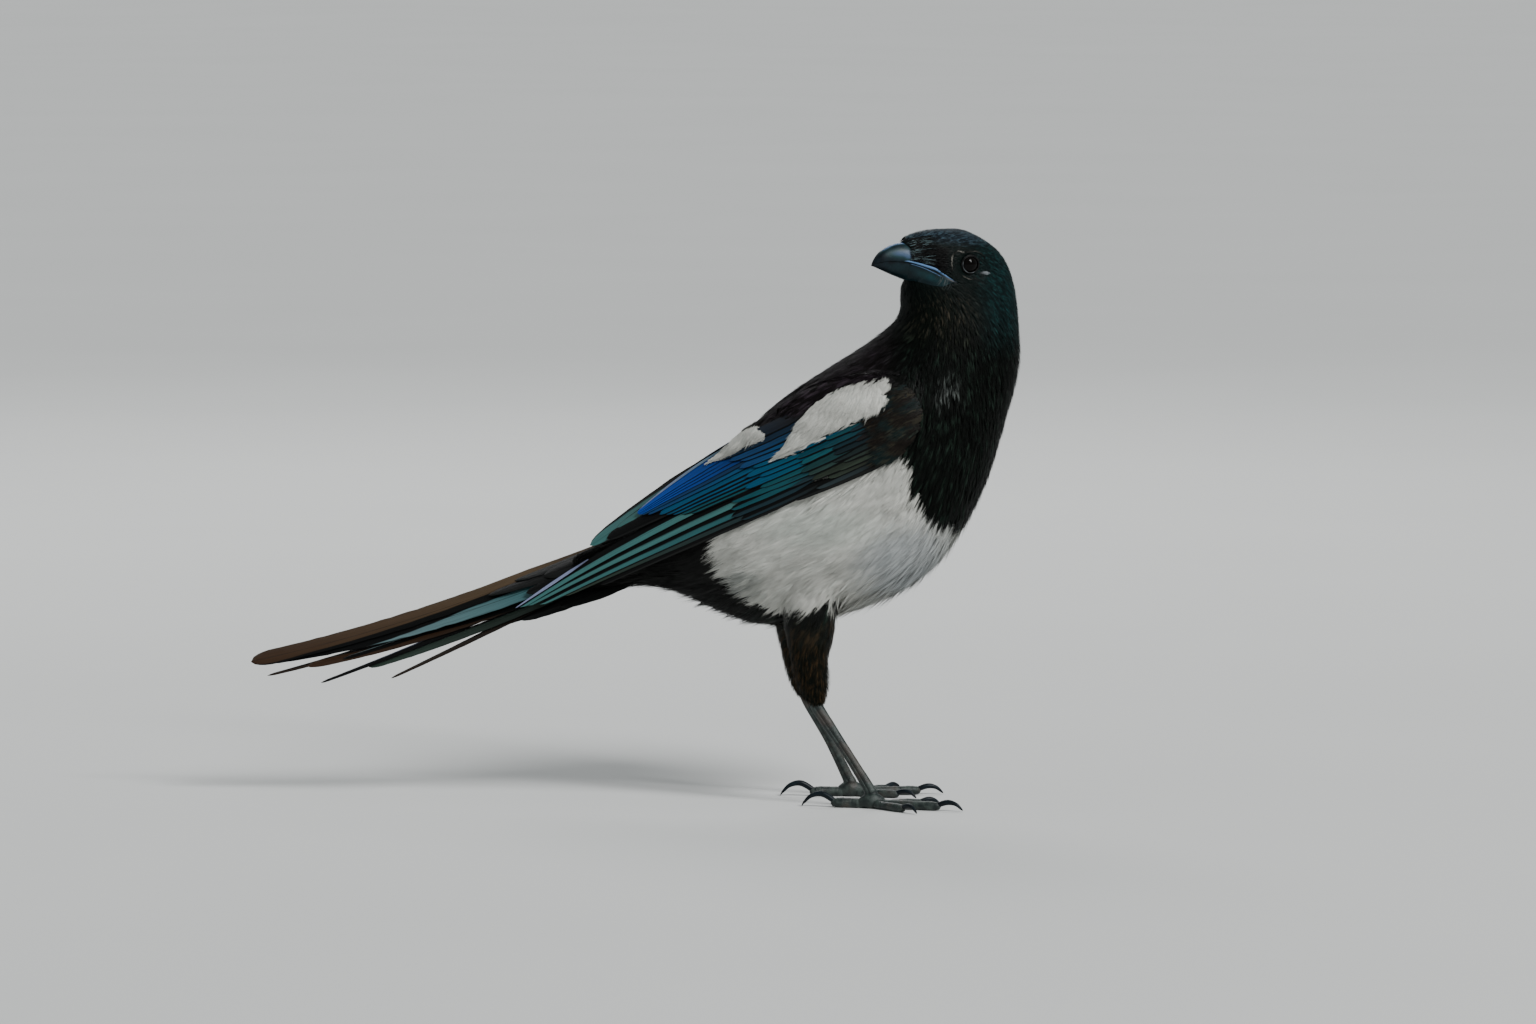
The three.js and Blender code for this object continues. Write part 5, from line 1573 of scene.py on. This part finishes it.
def make_eye(name, side, nearest, eye_material, lid_material):
    """The eyeball, its two rings of lid and a pale patch behind it, painted as a highlight on the lids' rear
    corner.
    """
    centre = head_points(EYE["forward"], side * EYE["side"], EYE["up"])
    ball = Shape()
    add_ball(ball, centre, EYE["radius"] - 0.1)
    finish_piece(ball.build(f"eyeball_{name}"), eye_material, [f"eye_{name}"])
    out = head_ways([0, side, 0])
    axes = [head_ways([1, 0, 0]), head_ways([0, 0, 1])]
    rim = head_points(EYE["forward"], side * LID["side"], EYE["up"])
    # An angle of 0 is ahead. The inner ring is pale from the front of the eye round below it.
    angle = circle(RING_STEPS)
    turned = np.where(angle > np.pi, angle - 2 * np.pi, angle)
    pale = step_up(0.35, 0.0, turned) * step_up(-2.3, -1.9, turned) * (0.40 + 0.25 * np.sin(5 * turned))
    thin, thick = np.full(RING_STEPS, 0.2), LID["thick"] * (0.8 + 0.25 * np.sin(angle)) * 0.5
    shape = Shape()
    add_ring(shape, rim - 0.2 * out, out, axes, LID["radius"] - 0.05, thin, 0 * angle, pale)
    add_ring(shape, rim - 0.7 * out, out, axes, LID["radius"] + 0.35, thick, 0.35 * np.sin(angle), 0 * angle)
    finish_piece(shape.build(f"lids_{name}"), lid_material)
    # A thin pale patch behind and below the eye, palest at its rear: a painted highlight on the lids' corner
    steps, around = 17, circle(12)
    share = np.linspace(0, 1, steps)[:, None]
    half = 0.95 * np.sin(np.pi * share**1.7).clip(0.04) ** 0.9
    forward = mix(-0.8, -7.8, share) + 0 * around
    up = mix(-2.6, -2.0, share) + half * np.cos(around)
    spots, normals = nearest(head_points(forward, side * CHEEK, up).reshape(-1, 3))
    rings = spots + normals * (0.3 + 0.4 * np.sin(around)[None] * half).reshape(-1, 1)
    shape = Shape()
    add_loft(shape, rings.reshape(steps, len(around), 3), lambda points: {
        "Pale": 0.7 * step_up(-1.5, -5.5, into_head(points)[:, 0])})
    finish_piece(shape.build(f"eye_corner_highlight_{name}"), lid_material)


# Legs

Toe = namedtuple("Toe", "heading pad claw thick arch")
TOES = {
    "hind": Toe(186, 19, 14, 2.5, 6.5),
    "inner": Toe(-18, 24, 9, 2.1, 3.6),
    "middle": Toe(14, 33, 11, 2.3, 4.2),
    "outer": Toe(46, 23, 9, 2.1, 3.6),
}
SHANK_SQUEEZE = 0.8
SHANK_PLATES = 9


def toe_path(toe, foot, side):
    """Rows of x, y, z and radius along a toe's pads, and a function that gives such a row at s along it."""
    angle = math.radians(toe.heading)

    def at(s, z, radius):
        return [foot[0] + math.cos(angle) * s, foot[1] + side * math.sin(angle) * s, z, radius]

    thick, pad = toe.thick, toe.pad
    knuckles = math.floor(pad / 11 + 0.5)
    points = [at(0, thick + 1.4, thick * 1.05)]
    for i in range(1, knuckles + 1):
        points.append(at(pad * (i - 0.5) / knuckles, thick * 0.86, thick * 0.98))
        points.append(at(pad * i / knuckles, thick * 0.9, thick * mix(1, 0.78, i / knuckles)))
    points[-1] = at(pad - 1.6, thick * 0.9, thick * 0.8)
    points += [at(pad - 0.4, thick * 0.92, thick * 0.62), at(pad + 0.3, thick * 0.95, thick * 0.2)]
    return points, at


def scaled(rings, plates, depth):
    """Raises plates across the upper side of a limb's rings and small pads under it."""
    centre = rings.mean(1, keepdims=True)
    out = rings - centre
    up = unit(out)[..., 2]
    along = np.linspace(0, plates, len(rings))[:, None]
    plate = depth * (1 - along % 1) * step_up(-0.2, 0.5, up)
    pads = depth * 0.7 * np.sin(np.pi * (along * 0.8 % 1)) * step_up(-0.1, -0.7, up)
    size = np.linalg.norm(out, axis=-1)
    return centre + out * ((size + plate + pads) / np.maximum(size, 1e-6))[..., None]


def shank_rings(foot, ankle):
    """Rings down a bare shank, with a groove behind its side and plates across its front."""
    shank = [
        [ankle[0] - 1, ankle[1], ankle[2] + 2, 2.7],
        [ankle[0] + 1, ankle[1] - 0.2, ankle[2] - 2.5, 2.9],
        [*mix(ankle, foot, 0.5), 2.3],
        [foot[0] - 2.2, foot[1], foot[2] + 3.4, 2.6],
        [foot[0] - 0.5, foot[1], foot[2] - 0.2, 3.0],
        [foot[0] + 0.7, foot[1], foot[2] - 2.8, 2.5],
        [foot[0] + 1.1, foot[1], foot[2] - 3.8, 0.8],
    ]
    rings = limb_rings(shank, 120, 36, 0, SHANK_SQUEEZE)
    centre = rings.mean(1, keepdims=True)
    out = rings - centre
    ahead = unit(out)[..., 0]
    groove = 0.28 * np.exp(-((ahead + 0.25) / 0.16) ** 2)
    along = np.linspace(0, SHANK_PLATES, len(rings))[:, None]
    plates = 0.035 * (1 - (along % 1)) * step_up(0.1, 0.6, ahead)
    return centre + out * (1 - groove + plates)[..., None]


def make_leg(name, side, scale_material, horn_material):
    foot, ankle = np.array(FOOT[name], float), np.array(ANKLE[name], float)
    shape = Shape()
    add_loft(shape, shank_rings(foot, ankle))
    finish_piece(shape.build(f"shank_{name}"), scale_material, [f"tarsus_{name}"])
    sole = [[foot[0] + ahead, foot[1], z, radius] for ahead, z, radius in (
        (-6.6, 2.6, 0.5), (-5.6, 2.6, 2.0), (0, 3.4, 4.2), (5.6, 2.6, 2.0), (6.6, 2.6, 0.5))]
    parts = [limb_rings(sole, 24, 28)]
    for toe in TOES.values():
        points, _ = toe_path(toe, foot, side)
        parts.append(scaled(limb_rings(points, toe.pad * 5, 24), toe.pad / 2.2, 0.14))
    shape = Shape()
    for rings in parts:
        rings[..., 2] = np.maximum(rings[..., 2], 0.0)
        add_loft(shape, rings)
    finish_piece(shape.build(f"toes_{name}"), scale_material, [f"foot_{name}"])
    for key, toe in TOES.items():
        _, at = toe_path(toe, foot, side)
        points = [
            at(toe.pad - 2.2, toe.thick * 0.95, toe.thick * 0.5),
            at(toe.pad + toe.claw * 0.3, mix(toe.thick, toe.arch, 0.9), toe.thick * 0.56),
            at(toe.pad + toe.claw * 0.68, toe.arch * 0.8, toe.thick * 0.4),
            at(toe.pad + toe.claw * 0.93, toe.arch * 0.3, toe.thick * 0.22),
            at(toe.pad + toe.claw, 0.42, 0.12),
        ]
        shape = Shape()
        add_loft(shape, limb_rings(points, 28, 16))
        finish_piece(shape.build(f"talon_{name}_{key}"), horn_material, [f"claw_{name}_{key}"])


# Materials

class Value:
    """A socket of a material that is being made. Sums on it add Math nodes."""

    def __init__(self, tree, socket):
        self.tree, self.socket = tree, socket

    def math(self, operation, *values):
        return add_node(self.tree, "Math", {"operation": operation}, dict(enumerate(values)))

    def __add__(self, other):
        return self.math("ADD", self, other)

    def __radd__(self, other):
        return self.math("ADD", other, self)

    def __sub__(self, other):
        return self.math("SUBTRACT", self, other)

    def __rsub__(self, other):
        return self.math("SUBTRACT", other, self)

    def __mul__(self, other):
        return self.math("MULTIPLY", self, other)

    def __rmul__(self, other):
        return self.math("MULTIPLY", other, self)

    def __abs__(self):
        return self.math("ABSOLUTE", self)

    def between(self, low, high):
        """From 0 at low to 1 at high, smoothly."""
        return add_node(self.tree, "MapRange", {"interpolation_type": "SMOOTHSTEP"}, {
            "Value": self, "From Min": low, "From Max": high})


def add_node(tree, kind, settings=None, inputs=None, output=0):
    """Adds a node, sets it, and fills its sockets with values or links. Gives back one of its outputs."""
    node = tree.nodes.new("ShaderNode" + kind)
    for key, value in (settings or {}).items():
        setattr(node, key, value)
    for key, value in (inputs or {}).items():
        if isinstance(value, Value):
            tree.links.new(value.socket, node.inputs[key])
        else:
            node.inputs[key].default_value = value
    return Value(tree, node.outputs[output])


BUMP_HEIGHT = 0.0002  # metres


class Finish:
    """A material in the making. Fixed settings carry the names of the shader's sockets."""

    def __init__(self, name, **fixed):
        self.material = bpy.data.materials.new(name)
        self.material.use_nodes = True
        self.tree = self.material.node_tree
        self.shader = self.tree.nodes["Principled BSDF"]
        for key, value in fixed.items():
            self.shader.inputs[key.replace("_", " ")].default_value = value

    def node(self, kind, settings=None, inputs=None, output=0):
        return add_node(self.tree, kind, settings, inputs, output)

    def kept(self, name, output="Fac"):
        """A value, or a colour, that the piece keeps for its points."""
        return self.node("Attribute", {"attribute_name": name}, output=output)

    def noise(self, scale, detail=2.0, at=None):
        """Noise from 0 to 1 at a vector, or else at the place on the piece in metres."""
        at = at or self.node("TexCoord", output="Object")
        return self.node("TexNoise", None, {"Vector": at, "Scale": scale, "Detail": detail})

    def vector(self, x, y, z):
        return self.node("CombineXYZ", None, {0: x, 1: y, 2: z})

    def blend(self, a, b, share):
        """Two colours mixed by a share. Colours are tuples of three or values."""
        full = [colour if isinstance(colour, Value) else (*colour, 1) for colour in (a, b)]
        return self.node("Mix", {"data_type": "RGBA"}, {0: share, 6: full[0], 7: full[1]}, output=2)

    def toned(self, colour, tone):
        return self.node("VectorMath", {"operation": "SCALE"}, {0: colour, "Scale": tone})

    def give(self, socket, value):
        self.tree.links.new(value.socket, self.shader.inputs[socket])

    def roughen(self, strength, height):
        """Bumps of up to BUMP_HEIGHT."""
        self.give("Normal", self.node("Bump", None, {
            "Strength": strength, "Distance": BUMP_HEIGHT, "Height": height}))


def coat_material(name, specular, contrast):
    """Strands that differ a little from each other and are painted darker towards their roots, as shade among
    the tufts.
    """
    finish = Finish(name, Specular_IOR_Level=specular)
    chance = finish.kept("Chance")
    # Painted shade: each strand darker towards its root, where the tufts shade one another
    tone = (1 - contrast) + contrast * (1.1 * chance + 0.9 * finish.kept("Along"))
    finish.give("Base Color", finish.toned(finish.kept("Coat", "Color"), tone))
    finish.give("Roughness", 0.42 + 0.3 * chance)
    return finish.material


def skin_material():
    finish = Finish("skin under the coat", Roughness=0.9, Specular_IOR_Level=0.1)
    grain = finish.noise(900.0)
    finish.give("Base Color", finish.toned(finish.kept("Coat", "Color"), 0.6 + 0.4 * grain))
    return finish.material


def vane_material(name, roughness):
    """Glossy tint on one side of each vane, black on the other, with barbs that slant from a fine shaft."""
    finish = Finish(name, Specular_IOR_Level=0.1, Coat_Roughness=0.32)
    chance = finish.kept("Chance")
    vane = finish.node("UVMap", {"uv_map": "Vane"})
    across = finish.node("SeparateXYZ", None, {0: vane}, "X")
    along = finish.node("SeparateXYZ", None, {0: vane}, "Y")
    off_shaft = abs(across - 0.5)
    slant = off_shaft * 30 - along * 22
    barbs = finish.noise(1.4, 4.0, finish.vector(slant, along * 4, chance * 31))
    broad = finish.noise(1.0, at=finish.vector(along * 5, across * 4, chance * 17))
    glossy = 1 - (across - finish.kept("Span") * (0.92 + 0.16 * broad)).between(-0.02, 0.05)
    rim = 1 - 0.5 * off_shaft.between(0.46, 0.49)
    share = glossy * rim * (0.55 + 0.45 * along.between(0.05, 0.3))
    web = finish.blend((0.0022, 0.0024, 0.0024), finish.kept("Tint", "Color"), share)
    shaft = 1 - off_shaft.between(0.008, 0.022)
    web = finish.blend(web, (0.0060, 0.0050, 0.0045), shaft * 0.7)
    finish.give("Base Color", finish.toned(web, 0.15 + 1.5 * barbs + 0.2 * broad))
    finish.give("Roughness", roughness + 0.28 * barbs)
    finish.give("Coat Weight", share * 0.22)
    finish.roughen(0.35, barbs)
    return finish.material


def horn_material():
    """Blue-black horn, tinted blue-green where the piece keeps a little tint and sheen, and painted pale blue
    as a highlight where it keeps more.
    """
    finish = Finish("blue-black horn", Specular_IOR_Level=0.16, Coat_Weight=0.03, Coat_Roughness=0.2)
    tint_and_sheen = finish.kept("Glow")
    patch = finish.noise(260.0, 4.0)
    colour = finish.blend((0.0016, 0.0036, 0.0058), (0.0040, 0.0105, 0.0150), patch.between(0.3, 0.75))
    # A little of it gives a blue-green tint, more gives a painted pale blue highlight.
    lustre = finish.blend((0.030, 0.150, 0.160), (0.095, 0.190, 0.360), tint_and_sheen.between(0.12, 0.32))
    finish.give("Base Color", finish.blend(colour, lustre, tint_and_sheen * (0.6 + 0.6 * patch)))
    finish.give("Roughness", 0.30 + 0.22 * patch)
    finish.roughen(0.25, finish.noise(1400.0, 3.0))
    return finish.material


def scale_material():
    """Grey-green leg scales, browner in places, with dark seams."""
    finish = Finish("leg scales", Specular_IOR_Level=0.4)
    patch, warm = finish.noise(320.0, 4.0), finish.noise(110.0)
    place = finish.node("TexCoord", output="Object")
    cells = finish.node("TexVoronoi", {"feature": "DISTANCE_TO_EDGE"}, {"Vector": place, "Scale": 1500.0})
    seam = 1 - cells.between(0.02, 0.16)
    colour = finish.blend((0.006, 0.013, 0.012), (0.045, 0.062, 0.054), patch.between(0.35, 0.75))
    colour = finish.blend(colour, (0.052, 0.038, 0.030), warm.between(0.5, 0.7) * 0.6)
    finish.give("Base Color", finish.blend(colour, (0.003, 0.004, 0.004), seam * 0.35))
    finish.give("Roughness", 0.36 + 0.25 * patch)
    finish.roughen(0.3, cells.between(0.0, 0.25) + 0.8 * patch)
    return finish.material


def lid_material():
    """Bare black lids, pale where the piece says so."""
    finish = Finish("bare lids", Specular_IOR_Level=0.12)
    patch = finish.noise(700.0, 3.0)
    colour = finish.blend((0.0030, 0.0034, 0.0034), (0.010, 0.010, 0.009), patch.between(0.4, 0.7))
    pale = finish.kept("Pale") * (0.35 + 0.5 * patch)
    finish.give("Base Color", finish.blend(colour, (0.26, 0.29, 0.31), pale))
    finish.give("Roughness", 0.3 + 0.3 * patch)
    return finish.material


def mottled_material(name, one, other, scale, **fixed):
    finish = Finish(name, **fixed)
    finish.give("Base Color", finish.blend(one, other, finish.noise(scale)))
    return finish.material


def eye_material():
    return mottled_material("wet dark eye", (0.0006, 0.0005, 0.0005), (0.0026, 0.0017, 0.0012), 500.0,
                            Roughness=0.05, Specular_IOR_Level=0.10)


def floor_material():
    return mottled_material("pale floor", (0.62, 0.63, 0.62), (0.66, 0.67, 0.66), 3.0,
                            Roughness=0.9, Specular_IOR_Level=0.1)


# Stage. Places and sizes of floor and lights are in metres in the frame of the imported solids.

FLOOR_RADIUS = 80
LIGHTS_AIM = (0, 0, 0.15)
SUN_WAY = (-0.8, 0.78, -1.0)
LAMPS = {"key": ((1.75, -1.35, 1.35), 0.26, 11), "rim": ((-0.3, 1.9, 1.6), 1.2, 16)}  # place, size and power


def make_floor(material):
    bpy.ops.mesh.primitive_circle_add(vertices=96, radius=FLOOR_RADIUS, fill_type="NGON", location=(0, 0, 0))
    floor = bpy.context.object
    floor.name = "floor"
    floor.data.materials.append(material)


def set_up(name, data, place, way):
    """Puts a light or camera in the scene, looking along a way."""
    made = bpy.data.objects.new(name, data)
    made.location = place
    made.rotation_euler = Vector(way).to_track_quat("-Z", "Y").to_euler()
    bpy.context.scene.collection.objects.link(made)
    return made


def light_scene():
    sun = bpy.data.lights.new("soft sun", "SUN")
    sun.energy, sun.angle = 2.8, math.radians(20)
    set_up("soft sun", sun, (0, 0, 0), SUN_WAY)
    for name, (place, size, power) in LAMPS.items():
        lamp = bpy.data.lights.new(name, "AREA")
        lamp.shape, lamp.size, lamp.energy = "DISK", size, power
        set_up(name, lamp, place, Vector(LIGHTS_AIM) - Vector(place))
    world = bpy.data.worlds.new("pale room")
    world.use_nodes = True
    background = world.node_tree.nodes["Background"]
    background.inputs["Color"].default_value = (0.86, 0.9, 0.92, 1)
    background.inputs["Strength"].default_value = 0.42
    bpy.context.scene.world = world


# The camera stands on the bird's right, a little ahead of it and above it, and sees this width at the bird.
VIEW = {"azimuth": 4.5, "elevation": 5.0, "distance": 4000, "width": 714, "aim": (-38.1, 0, 135.3)}
SENSOR = 36


def make_camera():
    azimuth, elevation = math.radians(VIEW["azimuth"]), math.radians(VIEW["elevation"])
    level = math.cos(elevation)
    back = np.array([math.sin(azimuth) * level, -math.cos(azimuth) * level, math.sin(elevation)])
    camera = bpy.data.cameras.new("camera")
    camera.sensor_width = SENSOR
    camera.lens = SENSOR * VIEW["distance"] / VIEW["width"]
    camera.clip_end = 200
    place = to_frame(np.array(VIEW["aim"])) + back * VIEW["distance"] * METRES
    bpy.context.scene.camera = set_up("camera", camera, place, -back)


def dress_skin(skin, material):
    """Gives the skin the coat's markings and lets it stand for the solids of the flesh."""
    points = mesh_points(skin.data)
    keep_colours(skin.data, "Coat", markings(points, np.full(len(points), 0.5)))
    nodes = ["head", "neck", "breast", "back", "rump", "belly", "thigh_right", "thigh_left"]
    finish_piece(skin, material, nodes)


make_camera()
coat, white = coat_material("black plumage", 0.09, 0.45), coat_material("white plumage", 0.15, 0.10)
vane, tail_vane = vane_material("flight feathers", 0.34), vane_material("tail feathers", 0.3)
horn, scales, lids, eyes = horn_material(), scale_material(), lid_material(), eye_material()
skin = make_skin()
dress_skin(skin, skin_material())
on_skin, skin_side = surface_finder(skin.data), side_finder(skin.data)
make_coat(skin, coat, white)
for name, side in SIDES.items():
    on_face = face_finder(side, skin_side)
    make_wing(name, side, vane, coat)
    make_scapulars(name, side, white)
    make_gape(name, on_face, horn)
    make_bristles(name, side, on_skin, on_face, coat)
    make_eye(name, side, on_skin, eyes, lids)
    make_leg(name, side, scales, horn)
make_tail(tail_vane)
make_bill(horn)
make_floor(floor_material())
light_scene()
